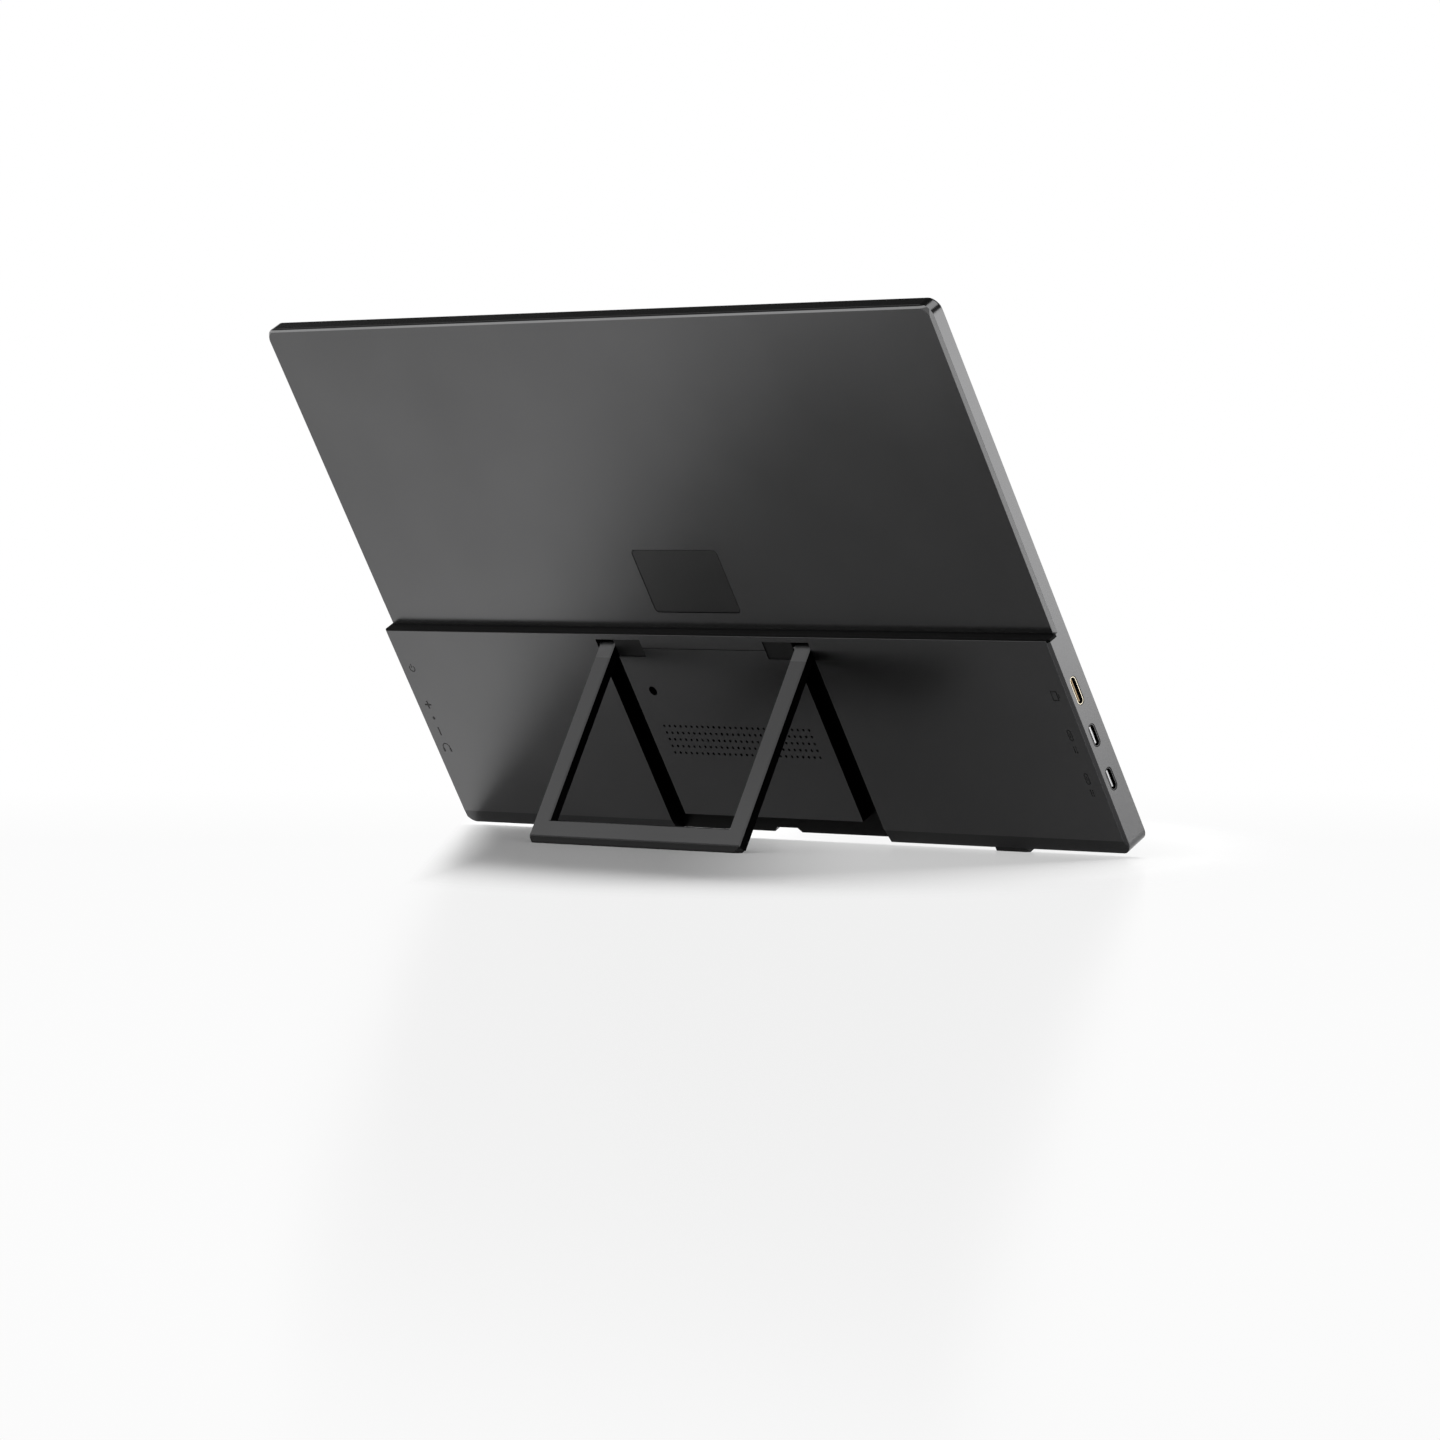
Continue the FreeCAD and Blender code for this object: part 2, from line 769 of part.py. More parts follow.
def power_button():
    """Button cap with its retaining flange and the stem that reaches the switch."""
    face = half_width + button_proud
    cap = stadium_x(button_flange_x, face, power_v, key_t, button_length, button_thickness)
    tall = button_length / 2 + button_flange
    thick = button_thickness / 2 + button_flange
    flange = block(button_flange_x, wall_inside - shaft_clearance, power_v - tall, power_v + tall,
                   key_t - thick, key_t + thick)
    return cap.fuse([flange, key_stem(button_flange_x, button_thickness / 2)]).removeSplitter()


def power_switch():
    """Side-push switch on the control board, with its plunger just clear of the button's stem."""
    plunger_end = button_flange_x - button_stem - button_travel - shaft_clearance
    body_end = plunger_end - button_stem
    start = body_end - button_thickness * 2
    body = block(start, body_end, power_v - button_thickness, power_v + button_thickness,
                 board_front, key_t + button_thickness / 2)
    return body.fuse(key_stem(plunger_end, button_thickness / 3)).removeSplitter()


def jog_wheel():
    """Thumb wheel with a notched rim that stands a little proud of the side."""
    back = board_front + wheel_base_thickness + wheel_lift
    half_notch = wheel_notch_depth / wheel_radius
    outline = []
    for index in range(wheel_notches):
        turn = 2 * math.pi * index / wheel_notches
        for offset, sink in ((-half_notch, 0), (0, wheel_notch_depth), (half_notch, 0)):
            reach = wheel_radius - sink
            across = reach * math.cos(turn + offset)
            along = reach * math.sin(turn + offset)
            outline.append((wheel_x + across, jog_v + along))
    wheel = prism_t(outline, back, back + wheel_thickness)
    return wheel.cut(rod_t(wheel_x, jog_v, 0, body_depth, wheel_pin + shaft_clearance))


def jog_switch():
    """Base of the jog wheel: a plate on the control board, the pin and its cap."""
    top = board_front + wheel_base_thickness
    wheel_front = top + wheel_lift + wheel_thickness + wheel_lift
    plate = sided_rod(wheel_x, jog_v, board_front, top, wheel_base_radius)
    pin = rod_t(wheel_x, jog_v, top, wheel_front, wheel_pin)
    cap = sided_rod(wheel_x, jog_v, wheel_front, wheel_front + wheel_cap_thickness, wheel_cap)
    return plate.fuse([pin, cap]).removeSplitter()


def headphone_jack():
    """Round socket in a moulded block on the control board."""
    wall_face = wall_inside - shaft_clearance
    mouth = half_width - jack_inset
    body = block(wall_face - jack_length, wall_face, jack_v - jack_width / 2, jack_v + jack_width / 2,
                 board_front, board_front + jack_height)
    collar = rod_x(wall_face, mouth, jack_v, jack_t, jack_collar)
    bore = rod_x(mouth - jack_bore_depth, mouth, jack_v, jack_t, jack_bore)
    return body.fuse(collar).removeSplitter().cut(bore)


def grille_mesh():
    """Dust cloth over the inside of the grille."""
    half = speaker_half + mesh_margin
    high = speaker_height / 2
    return block(-half, half, grille_v - high, grille_v + high, back_wall, back_wall + mesh_thickness)


def speaker_frame(t0, t1):
    """Outline of the left speaker between two depths."""
    half = speaker_height / 2
    return block(speaker_spacing / 2, speaker_half, grille_v - half, grille_v + half, t0, t1)


def speaker_mouth(t0, t1, margin):
    """Racetrack opening of the left speaker."""
    middle = (speaker_spacing / 2 + speaker_half) / 2
    half = (speaker_half - speaker_spacing / 2) / 2 - margin
    radius = speaker_height / 2 - margin
    flat = radius * math.cos(math.pi / small_sides)
    ends = [sided_rod(middle + side * (half - radius), grille_v, t0, t1, radius) for side in (-1, 1)]
    return block(middle - half + radius, middle + half - radius, grille_v - flat, grille_v + flat,
                 t0, t1).fuse(ends).removeSplitter()


def speaker():
    """Left speaker: frame with a sunken racetrack cone and a raised cap in its middle."""
    frame = speaker_frame(speaker_back, speaker_front)
    frame = frame.cut(speaker_mouth(speaker_back - 1, speaker_back + cone_sink, speaker_rim))
    cap = speaker_mouth(speaker_back + cone_sink / 2, speaker_back + cone_sink, speaker_height / 4)
    return frame.fuse(cap)


def speaker_gasket():
    """Foam ring between the left speaker and the mesh."""
    ring = speaker_frame(back_wall + mesh_thickness, speaker_back)
    return ring.cut(speaker_mouth(0, body_depth, speaker_rim))


def hinge_bracket():
    """Left hinge bracket: rolled barrel with a screwed leaf."""
    barrel = rod_x(barrel_start, barrel_end, hinge_v, hinge_t, barrel_radius)
    leaf = block(barrel_start, leaf_end, hinge_v - leaf_length, hinge_v, leaf_back, leaf_front)
    holes = [sided_rod(leaf_middle, v, 0, body_depth, screw_radius + shaft_clearance) for v in leaf_screws]
    bore = rod_x(0, half_width, hinge_v, hinge_t, shaft_radius + shaft_clearance)
    return barrel.fuse(leaf).removeSplitter().cut(holes + [bore])


def hinge_shaft():
    """Left hinge shaft: riveted end, then a plain pin into the arm."""
    pin = rod_x(rivet_start, stand_half - shaft_stop, hinge_v, hinge_t, shaft_radius)
    rivet = rod_x(rivet_start, rivet_start + rivet_length, hinge_v, hinge_t, rivet_radius)
    return pin.fuse(rivet).removeSplitter()


def hinge_washers():
    """Spring washers that give the left hinge its friction."""
    rings = []
    for index in range(washer_count):
        start = washer_start + index * (washer_thickness + washer_gap)
        end = start + washer_thickness
        disc, bore = [prism_x(sided_outline(hinge_v, hinge_t, radius, small_sides), start, end)
                      for radius in (rivet_radius, shaft_radius + washer_clearance)]
        rings.append(disc.cut(bore))
    return Part.makeCompound(rings)


def hinge_cover():
    """Left cover plate over the hinge barrel, let into its seat."""
    low = hinge_v - pocket_height / 2 + cover_gap
    high = pocket_top - cover_gap
    return block(cover_inner + cover_gap, panel_half, low, high, cover_sink, cover_back)


def upright(edge):
    """Whether an edge runs up the panel."""
    return abs(edge.Vertexes[0].Z - edge.Vertexes[1].Z) > tiny


def leg_edges(shape):
    """Long edges of a stand piece on its outer face."""
    return [edge for edge in edges_at(shape, leg_inset) if edge.Length > leg_width * 1.5]


def tenon(grown):
    """Tongue of the left arm inside the leg, grown by a gap."""
    middle = (leg_inner + stand_half) / 2
    seam = hinge_v - arm_length
    wide = tenon_width / 2 + grown
    thick = tenon_thickness / 2 + grown
    low = seam - tenon_length - grown
    return block(middle - wide, middle + wide, low, seam, hinge_t - thick, hinge_t + thick)


def hinge_arm():
    """Left arm: round knuckle on the shaft, shoulder on the leg and a tenon inside it."""
    knuckle = rod_x(leg_inner, stand_half, hinge_v, hinge_t, leg_thickness / 2)
    neck = block(leg_inner, stand_half, hinge_v - arm_length, hinge_v, leg_inset, leg_inset + leg_thickness)
    neck = neck.makeChamfer(leg_chamfer, [edge for edge in edges_at(neck, leg_inset) if upright(edge)])
    bore = rod_x(leg_inner - 1, stand_half - shaft_stop, hinge_v, hinge_t, shaft_radius)
    return knuckle.fuse([neck, tenon(0)]).removeSplitter().cut(bore)


def stand_frame():
    """U of two legs and a cross bar, with sockets for the arms and a groove for the strip."""
    front = leg_inset + leg_thickness
    high = hinge_v - arm_length
    plate = block(-stand_half, stand_half, strip_top, high, leg_inset, front)
    frame = plate.cut(block(-leg_inner, leg_inner, bar_top, high + 1, 0, body_depth))
    frame = frame.makeChamfer(leg_chamfer, leg_edges(frame))
    return frame.cut(both_sides(tenon(tenon_gap)) + [strip_tongue(tenon_gap)])


def strip_tongue(grown):
    """Rib of the rubber strip inside the groove of the cross bar, grown by a gap."""
    thick = tongue_thickness / 2 + grown
    reach = stand_half - leg_width / 2 + grown
    high = strip_top + tongue_height + grown
    return block(-reach, reach, strip_top, high, hinge_t - thick, hinge_t + thick)


def sole_edges(shape):
    """Edges round the sole of the rubber strip."""
    return [edge for edge in shape.Edges if all(abs(end.Z + strip_overhang) < tiny for end in edge.Vertexes)]


def stand_strip():
    """Rubber strip under the cross bar, with its lower corners cut and its long edges rounded."""
    thick = leg_thickness / 2 - strip_inset
    reach = stand_half - strip_inset
    strip = block(-reach, reach, -strip_overhang, strip_top, hinge_t - thick, hinge_t + thick)
    strip = strip.makeChamfer(strip_corner, [edge for edge in sole_edges(strip) if edge.Length < leg_width])
    strip = strip.makeFillet(strip_round, [edge for edge in sole_edges(strip) if edge.Length > leg_width])
    return strip.fuse(strip_tongue(0)).removeSplitter()


def foot():
    """Left rubber foot under the lower edge, before its sole is cut level."""
    start = taper_depth + foot_setback
    deep = 2 * foot_height
    pad = block(foot_x - foot_length / 2, foot_x + foot_length / 2, -deep, 0, start, start + foot_depth)
    return pad.makeFillet(foot_round, [edge for edge in pad.Edges if upright(edge)])


def label_plate():
    """Bare label plate let into the upper back, with a fine groove round its chamfered edge."""
    low = ledge_height + label_above_ledge + label_gap
    back = step_depth + label_sink
    radius = label_round - label_gap
    plate = rounded_plate(label_width / 2 - label_gap, low, low + label_height - 2 * label_gap, back,
                          back + label_thickness, radius, radius)
    return plate.makeChamfer(label_edge, edges_at(plate, back))


def inside_screws(places, seat):
    """Small screws whose heads rest on a seat facing forward and whose shanks reach into the bosses."""
    screws = []
    tip = seat - board_thickness - screw_bite / 2
    for x, v in places:
        head = sided_rod(x, v, seat, seat + screw_head_height, screw_head)
        shank = sided_rod(x, v, tip, seat, screw_radius)
        screws.append(head.fuse(shank).removeSplitter())
    return Part.makeCompound(screws)


def case_screws():
    """Screws sunk in the back that hold the housing to the tray's posts."""
    screws = []
    for x, v in case_screw_places:
        head_back = case_well_depth - case_head_height
        head = sided_rod(x, v, head_back, case_well_depth, case_head_radius, head_sides)
        shank = sided_rod(x, v, case_well_depth, tray_back - case_thread_end, case_screw_radius)
        screws.append(head.fuse(shank).removeSplitter())
    return Part.makeCompound(screws)


def case_posts():
    """Threaded posts on the back of the tray."""
    posts = []
    for x, v in case_screw_places:
        post = sided_rod(x, v, case_boss_front, tray_back, case_post_radius)
        posts.append(post.cut(sided_rod(x, v, 0, tray_back - case_thread_end, case_screw_radius)))
    return Part.makeCompound(posts)


def fixed_pieces():
    """Every piece that stays with the panel."""
    guide_low = led_bar_thickness + led_height + stack_gap
    pieces = {
        "rear_cover": rear_cover(),
        "front_bezel": front_bezel(),
        "panel_gasket": panel_gasket(),
        "lcd_cell": stack_sheet(cell_back, stack_front),
        "optical_films": stack_sheet(film_back, cell_back),
        "light_guide": stack_sheet(guide_back, film_back, guide_low),
        "reflector_sheet": stack_sheet(tray_floor, guide_back, guide_low),
        "led_strip": led_strip(),
        "backlight_tray": backlight_tray(),
        "panel_board": panel_board(),
        "panel_cable": panel_cable(),
        "main_board": drilled_board(main_board_area),
        "control_board": drilled_board(control_board_area),
        "board_components": board_components(),
        "board_screws": inside_screws(board_screw_places, board_front),
        "control_ribbon": control_ribbon(),
        "speaker_lead": speaker_lead(),
        "power_switch": power_switch(),
        "jog_switch": jog_switch(),
        "headphone_jack": headphone_jack(),
        "grille_mesh": grille_mesh(),
        "hinge_screws": inside_screws(leaf_screw_places, leaf_front),
        "label_plate": label_plate(),
        "case_screws": case_screws(),
        "case_posts": case_posts(),
    }
    for name in sockets:
        pieces[name + "_shell"], pieces[name + "_tongue"] = socket_parts(name)
    paired = {"speaker": speaker(), "speaker_gasket": speaker_gasket(), "hinge_bracket": hinge_bracket()}
    paired.update({"hinge_washers": hinge_washers(), "hinge_cover": hinge_cover()})
    for name, left in paired.items():
        pieces[name + "_left"] = left
        pieces[name + "_right"] = mirrored(left)
    return pieces


def stand_pieces():
    """Every piece that swings with the stand, drawn folded."""
    pieces = {"stand_frame": stand_frame(), "stand_strip": stand_strip()}
    for name, left in {"hinge_arm": hinge_arm(), "hinge_shaft": hinge_shaft()}.items():
        pieces[name + "_left"] = left
        pieces[name + "_right"] = mirrored(left)
    return pieces


def leaned(shape):
    """Turn a piece from the panel's frame to the rest pose, with the floor still at its own level."""
    return shape.rotated(FreeCAD.Vector(0, 0, 0), FreeCAD.Vector(1, 0, 0), -lean)


def opened(shape):
    """Swing a stand piece out about the hinge."""
    return shape.rotated(point(0, hinge_v, hinge_t), FreeCAD.Vector(1, 0, 0), stand_swing)


def soled(shape):
    """Cut a rubber piece level where it meets the floor."""
    return shape.cut(Part.makeBox(
        2 * body_width, 2 * body_height, foot_height * 4,
        FreeCAD.Vector(-body_width, -body_height, floor_level - foot_height * 4),
    ))


def assembly():
    """All pieces in the rest pose, standing on z = 0 and centred front to back."""
    pieces = {name: leaned(shape) for name, shape in fixed_pieces().items()}
    pieces.update({name: leaned(opened(shape)) for name, shape in stand_pieces().items()})
    pieces["stand_strip"] = soled(pieces["stand_strip"])
    pieces["power_button"] = leaned(power_button())
    pieces["jog_wheel"] = leaned(jog_wheel())
    left = soled(leaned(foot()))
    pieces["foot_left"] = left
    pieces["foot_right"] = mirrored(left)
    box = Part.makeCompound(list(pieces.values())).optimalBoundingBox(False, False)
    shift = FreeCAD.Vector(0, -(box.YMin + box.YMax) / 2, -floor_level)
    return {name: shape.translated(shift) for name, shape in pieces.items()}, shift


os.makedirs("parts", exist_ok=True)
nodes, origin_shift = assembly()
for node, solid in nodes.items():
    solid.exportStep(os.path.join("parts", node + ".step"))
hinge_place = leaned(Part.Vertex(point(0, hinge_v, hinge_t))).Point + origin_shift
print("pieces", len(nodes), "swing", round(stand_swing, 3), "hinge", [round(c, 4) for c in hinge_place])
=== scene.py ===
import math

import bmesh
import bpy
import numpy as np
from mathutils import Matrix, Vector


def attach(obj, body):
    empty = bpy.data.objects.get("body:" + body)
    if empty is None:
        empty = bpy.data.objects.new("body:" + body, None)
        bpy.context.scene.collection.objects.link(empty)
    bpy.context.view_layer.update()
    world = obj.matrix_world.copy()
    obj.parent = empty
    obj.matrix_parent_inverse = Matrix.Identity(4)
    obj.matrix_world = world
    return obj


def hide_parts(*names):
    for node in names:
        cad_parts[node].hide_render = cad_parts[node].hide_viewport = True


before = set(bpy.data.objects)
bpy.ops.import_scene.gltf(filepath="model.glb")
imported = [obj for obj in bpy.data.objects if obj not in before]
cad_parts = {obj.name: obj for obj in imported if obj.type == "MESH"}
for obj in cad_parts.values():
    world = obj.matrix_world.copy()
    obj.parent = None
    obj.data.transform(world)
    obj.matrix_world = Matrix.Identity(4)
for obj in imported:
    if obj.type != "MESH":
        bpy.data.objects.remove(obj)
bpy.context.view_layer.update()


# Rear housing: a machined and bead-blasted aluminium shell, anodised charcoal, thin over the panel and
# thicker below a ledge, where the boards lie. The cut along the upper edges is painted lighter than the
# housing as painted highlight, with a dark rim of painted shade along the top. The cut along the lower edges
# and the bottom taper are painted darker as painted shade, and the ledge, the label's seat and the channels
# that the stand folds into are painted black as painted shade.
housing_tones = ((0.095, 0.095, 0.096), (0.108, 0.108, 0.109))
housing_roughness = (0.22, 0.26)
panel_origin = Vector((0.0, -0.048634, 0.0008))
lean = math.radians(30.0)
panel_half_width = 0.178
panel_height = 0.223
body_depth = 0.0112
step_depth = 0.0048
ledge_up = 0.0902
edge_cut = 0.0011
corner_hollow = 0.0003
seat_half_width = 0.0234
seat_low = 0.0967
seat_high = 0.1249
seat_depth = 0.0006
taper_up = 0.0062
channel_half_width = 0.0573
channel_top = 0.0885
black_start = 0.00008
skin = 0.00005
cut_with_painted_highlight = (0.25, 0.25, 0.252)
cut_with_painted_shade = (0.044, 0.044, 0.045)
cut_roughness = 0.26
rim_share = 0.42
rim_painted_shade = (0.013, 0.013, 0.0132)
painted_shade_black = (0.003, 0.003, 0.003)
black_roughness = 0.4


def coated(name, tones, roughness, metallic=0.0, cloud=14.0, grain=2600.0, relief=2.0e-6, specular=0.5):
    """Finish with two tones and two roughnesses that drift in soft clouds, over a fine raised grain.
    Cloud and grain are repeats to the metre, and relief is the grain's height in metres."""
    material = bpy.data.materials.new(name)
    material.use_nodes = True
    nodes, links = material.node_tree.nodes, material.node_tree.links
    shader = nodes["Principled BSDF"]
    shader.inputs["Metallic"].default_value = metallic
    shader.inputs["Specular IOR Level"].default_value = specular
    place = nodes.new("ShaderNodeTexCoord")
    drift = nodes.new("ShaderNodeTexNoise")
    drift.inputs["Scale"].default_value = cloud
    drift.inputs["Detail"].default_value = 3.0
    links.new(place.outputs["Object"], drift.inputs["Vector"])
    colour = nodes.new("ShaderNodeValToRGB")
    for stop, position, tone in zip(colour.color_ramp.elements, (0.3, 0.7), tones):
        stop.position = position
        stop.color = (*tone, 1.0)
    links.new(drift.outputs["Fac"], colour.inputs["Fac"])
    links.new(colour.outputs["Color"], shader.inputs["Base Color"])
    gloss = nodes.new("ShaderNodeMapRange")
    gloss.inputs["From Min"].default_value = 0.3
    gloss.inputs["From Max"].default_value = 0.7
    gloss.inputs["To Min"].default_value = roughness[0]
    gloss.inputs["To Max"].default_value = roughness[1]
    links.new(drift.outputs["Fac"], gloss.inputs["Value"])
    links.new(gloss.outputs["Result"], shader.inputs["Roughness"])
    blast = nodes.new("ShaderNodeTexNoise")
    blast.inputs["Scale"].default_value = grain
    blast.inputs["Detail"].default_value = 2.0
    links.new(place.outputs["Object"], blast.inputs["Vector"])
    bump = nodes.new("ShaderNodeBump")
    bump.inputs["Distance"].default_value = relief
    links.new(blast.outputs["Fac"], bump.inputs["Height"])
    links.new(bump.outputs["Normal"], shader.inputs["Normal"])
    return material


def joined(nodes, links, operation, first, second):
    """Socket that joins two others by one sum of arithmetic."""
    sum_node = nodes.new("ShaderNodeMath")
    sum_node.operation = operation
    links.new(first, sum_node.inputs[0])
    links.new(second, sum_node.inputs[1])
    return sum_node.outputs[0]


def own_axes(nodes, links, origin, turn):
    """Nodes that turn a place into a part's own axes about its origin: across, outward and up."""
    place = nodes.new("ShaderNodeTexCoord")
    turned = nodes.new("ShaderNodeMapping")
    turned.inputs["Rotation"].default_value = (turn, 0.0, 0.0)
    turned.inputs["Location"].default_value = -(Matrix.Rotation(turn, 3, "X") @ origin)
    links.new(place.outputs["Object"], turned.inputs["Vector"])
    axes = nodes.new("ShaderNodeSeparateXYZ")
    links.new(turned.outputs["Vector"], axes.inputs["Vector"])
    return axes


def refinish(material, origin, turn, boxes, tone, roughness, metallic):
    """Lays a second finish over the first inside some boxes of a part's own axes. A box's mask is the product
    of one in-range test for each axis, lowest and highest given, and the greatest of the boxes counts."""
    nodes, links = material.node_tree.nodes, material.node_tree.links
    shader = nodes["Principled BSDF"]
    axes = own_axes(nodes, links, origin, turn)
    mask = None
    for box in boxes:
        inside = None
        for output, (low, high) in zip(axes.outputs, box):
            test = nodes.new("ShaderNodeMath")
            test.operation = "COMPARE"
            test.inputs[1].default_value = (low + high) / 2
            test.inputs[2].default_value = (high - low) / 2
            links.new(output, test.inputs[0])
            inside = test.outputs[0] if inside is None else joined(
                nodes, links, "MULTIPLY", inside, test.outputs[0])
        mask = inside if mask is None else joined(nodes, links, "MAXIMUM", mask, inside)
    colour = nodes.new("ShaderNodeMix")
    colour.data_type = "RGBA"
    links.new(mask, colour.inputs[0])
    links.new(shader.inputs["Base Color"].links[0].from_socket, colour.inputs[6])
    colour.inputs[7].default_value = (*tone, 1.0)
    links.new(colour.outputs[2], shader.inputs["Base Color"])
    gloss = nodes.new("ShaderNodeMix")
    links.new(mask, gloss.inputs[0])
    links.new(shader.inputs["Roughness"].links[0].from_socket, gloss.inputs[2])
    gloss.inputs[3].default_value = roughness
    links.new(gloss.outputs[0], shader.inputs["Roughness"])
    metal = nodes.new("ShaderNodeMapRange")
    metal.inputs["To Min"].default_value = shader.inputs["Metallic"].default_value
    metal.inputs["To Max"].default_value = metallic
    links.new(mask, metal.inputs["Value"])
    links.new(metal.outputs["Result"], shader.inputs["Metallic"])


def dress(material, *nodes):
    """Gives CAD nodes one finish."""
    for node in nodes:
        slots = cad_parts[node].data.materials
        slots.clear()
        slots.append(material)


charcoal_metal = coated("charcoal_metal", housing_tones, housing_roughness, metallic=1.0)
side_spans = [
    (low, low + edge_cut - 2 * skin) for low in (skin - panel_half_width, panel_half_width - edge_cut + skin)
]
between_sides = (edge_cut - panel_half_width, panel_half_width - edge_cut)
upper_cuts = [(span, (-step_depth - edge_cut, 0.0), (ledge_up, panel_height)) for span in side_spans]
upper_cuts.append((
    between_sides,
    (-step_depth - edge_cut, skin - step_depth),
    (panel_height - edge_cut, panel_height - skin),
))
lower_cuts = [(span, (-edge_cut, 0.0), (0.0, ledge_up)) for span in side_spans]
taper = (between_sides, (-2 * edge_cut, -skin), (0.0, taper_up))
channels = (
    (-channel_half_width, channel_half_width),
    (-body_depth, -black_start),
    (-channel_top, channel_top),
)
ledge = (
    (-panel_half_width, panel_half_width),
    (-step_depth - skin, -black_start),
    (ledge_up - edge_cut, ledge_up + corner_hollow),
)
label_seat = (
    (-seat_half_width, seat_half_width),
    (-step_depth - seat_depth, -step_depth - skin),
    (seat_low, seat_high),
)
top_rim = (
    between_sides,
    (-step_depth - edge_cut, -step_depth - (1.0 - rim_share) * edge_cut),
    (panel_height - rim_share * edge_cut, panel_height - skin),
)
# Painted highlight: the cut along the upper edges is painted lighter than the housing.
refinish(charcoal_metal, panel_origin, lean, upper_cuts, cut_with_painted_highlight, cut_roughness, 1.0)
# Painted shade: a dark rim over the outer part of the top chamfer.
refinish(charcoal_metal, panel_origin, lean, [top_rim], rim_painted_shade, cut_roughness, 1.0)
# Painted shade: the cut along the lower edges and the bottom taper are painted darker.
refinish(charcoal_metal, panel_origin, lean, lower_cuts + [taper], cut_with_painted_shade, cut_roughness, 1.0)
# Painted shade: the ledge, the label's seat and the stand's channels are painted black.
refinish(charcoal_metal, panel_origin, lean, [channels, ledge, label_seat], painted_shade_black, black_roughness, 1.0)
dress(charcoal_metal, "rear_cover")


# Printed marks: generic signs beside the keys and the sockets, one coat of black ink printed on the back.
# Each stroke is a low flat ridge.
mark_across = 0.171
mark_line = 0.00048
bold_line = 1.6 * mark_line
dot_line = 1.4 * mark_line
pad_line = 2 * mark_line
mark_height = 0.00002
power_up = 0.0726
wheel_up = 0.0495
wheel_plus_up = 0.0557
wheel_minus_up = 0.0433
jack_up = 0.0357
video_up = 0.0669
data_ups = (0.0482, 0.0299)
mark_tones = ((0.006, 0.006, 0.0062), (0.009, 0.009, 0.0092))


def panel_place(across, up, depth):
    """Places in the panel's axes put into the row's frame: a turn about X by the lean, then a shift."""
    across, up, depth = np.broadcast_arrays(across, up, depth)
    cos, sin = math.cos(lean), math.sin(lean)
    return np.stack(
        [across, panel_origin.y - depth * cos + up * sin, panel_origin.z + depth * sin + up * cos], axis=-1
    )


def made(name, points, faces, body, material):
    """Piece from arrays of points and faces, with its doubles merged and its faces turned outward."""
    mesh = bpy.data.meshes.new(name)
    mesh.from_pydata(points.reshape(-1, 3).tolist(), [], faces)
    shell = bmesh.new()
    shell.from_mesh(mesh)
    bmesh.ops.remove_doubles(shell, verts=shell.verts, dist=1e-9)
    bmesh.ops.recalc_face_normals(shell, faces=shell.faces)
    shell.to_mesh(mesh)
    shell.free()
    mesh.materials.append(material)
    piece = bpy.data.objects.new(name, mesh)
    bpy.context.scene.collection.objects.link(piece)
    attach(piece, body)
    return piece


def grid_faces(rows, columns, wrap_rows, wrap_columns):
    """Quads of a grid whose last row or column may join its first."""
    row = np.arange(rows if wrap_rows else rows - 1)[:, None]
    column = np.arange(columns if wrap_columns else columns - 1)[None, :]
    next_row = (row + 1) % rows
    next_column = (column + 1) % columns
    corners = [row * columns + column, next_row * columns + column,
               next_row * columns + next_column, row * columns + next_column]
    return np.stack(np.broadcast_arrays(*corners), axis=-1).reshape(-1, 4)


def stroke(path, width, closed):
    """Ridge of ink: a flat four-cornered section carried along a path of (across, up) places. At each place
    the two sides stand off along the mitre of the normals before and after it."""
    path = np.asarray(path, dtype=float)
    ahead = np.roll(path, -1, axis=0) - path
    if not closed:
        ahead[-1] = ahead[-2]
    ahead /= np.linalg.norm(ahead, axis=1, keepdims=True)
    after = np.stack([-ahead[:, 1], ahead[:, 0]], axis=1)
    before = np.roll(after, 1, axis=0)
    if not closed:
        before[0] = after[0]
    mitre = (before + after) / (1.0 + (before * after).sum(axis=1, keepdims=True))
    left = path + mitre * width / 2
    right = path - mitre * width / 2
    section = np.stack([
        panel_place(left[:, 0], left[:, 1], 0.0), panel_place(left[:, 0], left[:, 1], -mark_height),
        panel_place(right[:, 0], right[:, 1], -mark_height), panel_place(right[:, 0], right[:, 1], 0.0),
    ], axis=1)
    faces = grid_faces(len(path), 4, closed, True)
    if not closed:
        ends = np.array([[3, 2, 1, 0], [0, 1, 2, 3]])
        ends[1] += 4 * (len(path) - 1)
        faces = np.concatenate([faces, ends])
    return section.reshape(-1, 3), faces


def ring_path(across, up, radius, start, end, steps):
    """Places along a circle about a centre, between two turns in degrees from the upward direction."""
    turn = np.radians(np.linspace(start, end, steps))
    return np.stack([across + radius * np.sin(turn), up + radius * np.cos(turn)], axis=1)


def slot_path(across, up, half_length, radius, steps):
    """Outline of an upright slot: two half circles, one at each end."""
    top = ring_path(across, up + half_length - radius, radius, -90.0, 90.0, steps)
    foot = ring_path(across, up - half_length + radius, radius, 90.0, 270.0, steps)
    return np.concatenate([top, foot])


def bar(across, up, reach_across, reach_up):
    """Straight path centred on a place."""
    return [(across - reach_across, up - reach_up), (across + reach_across, up + reach_up)]


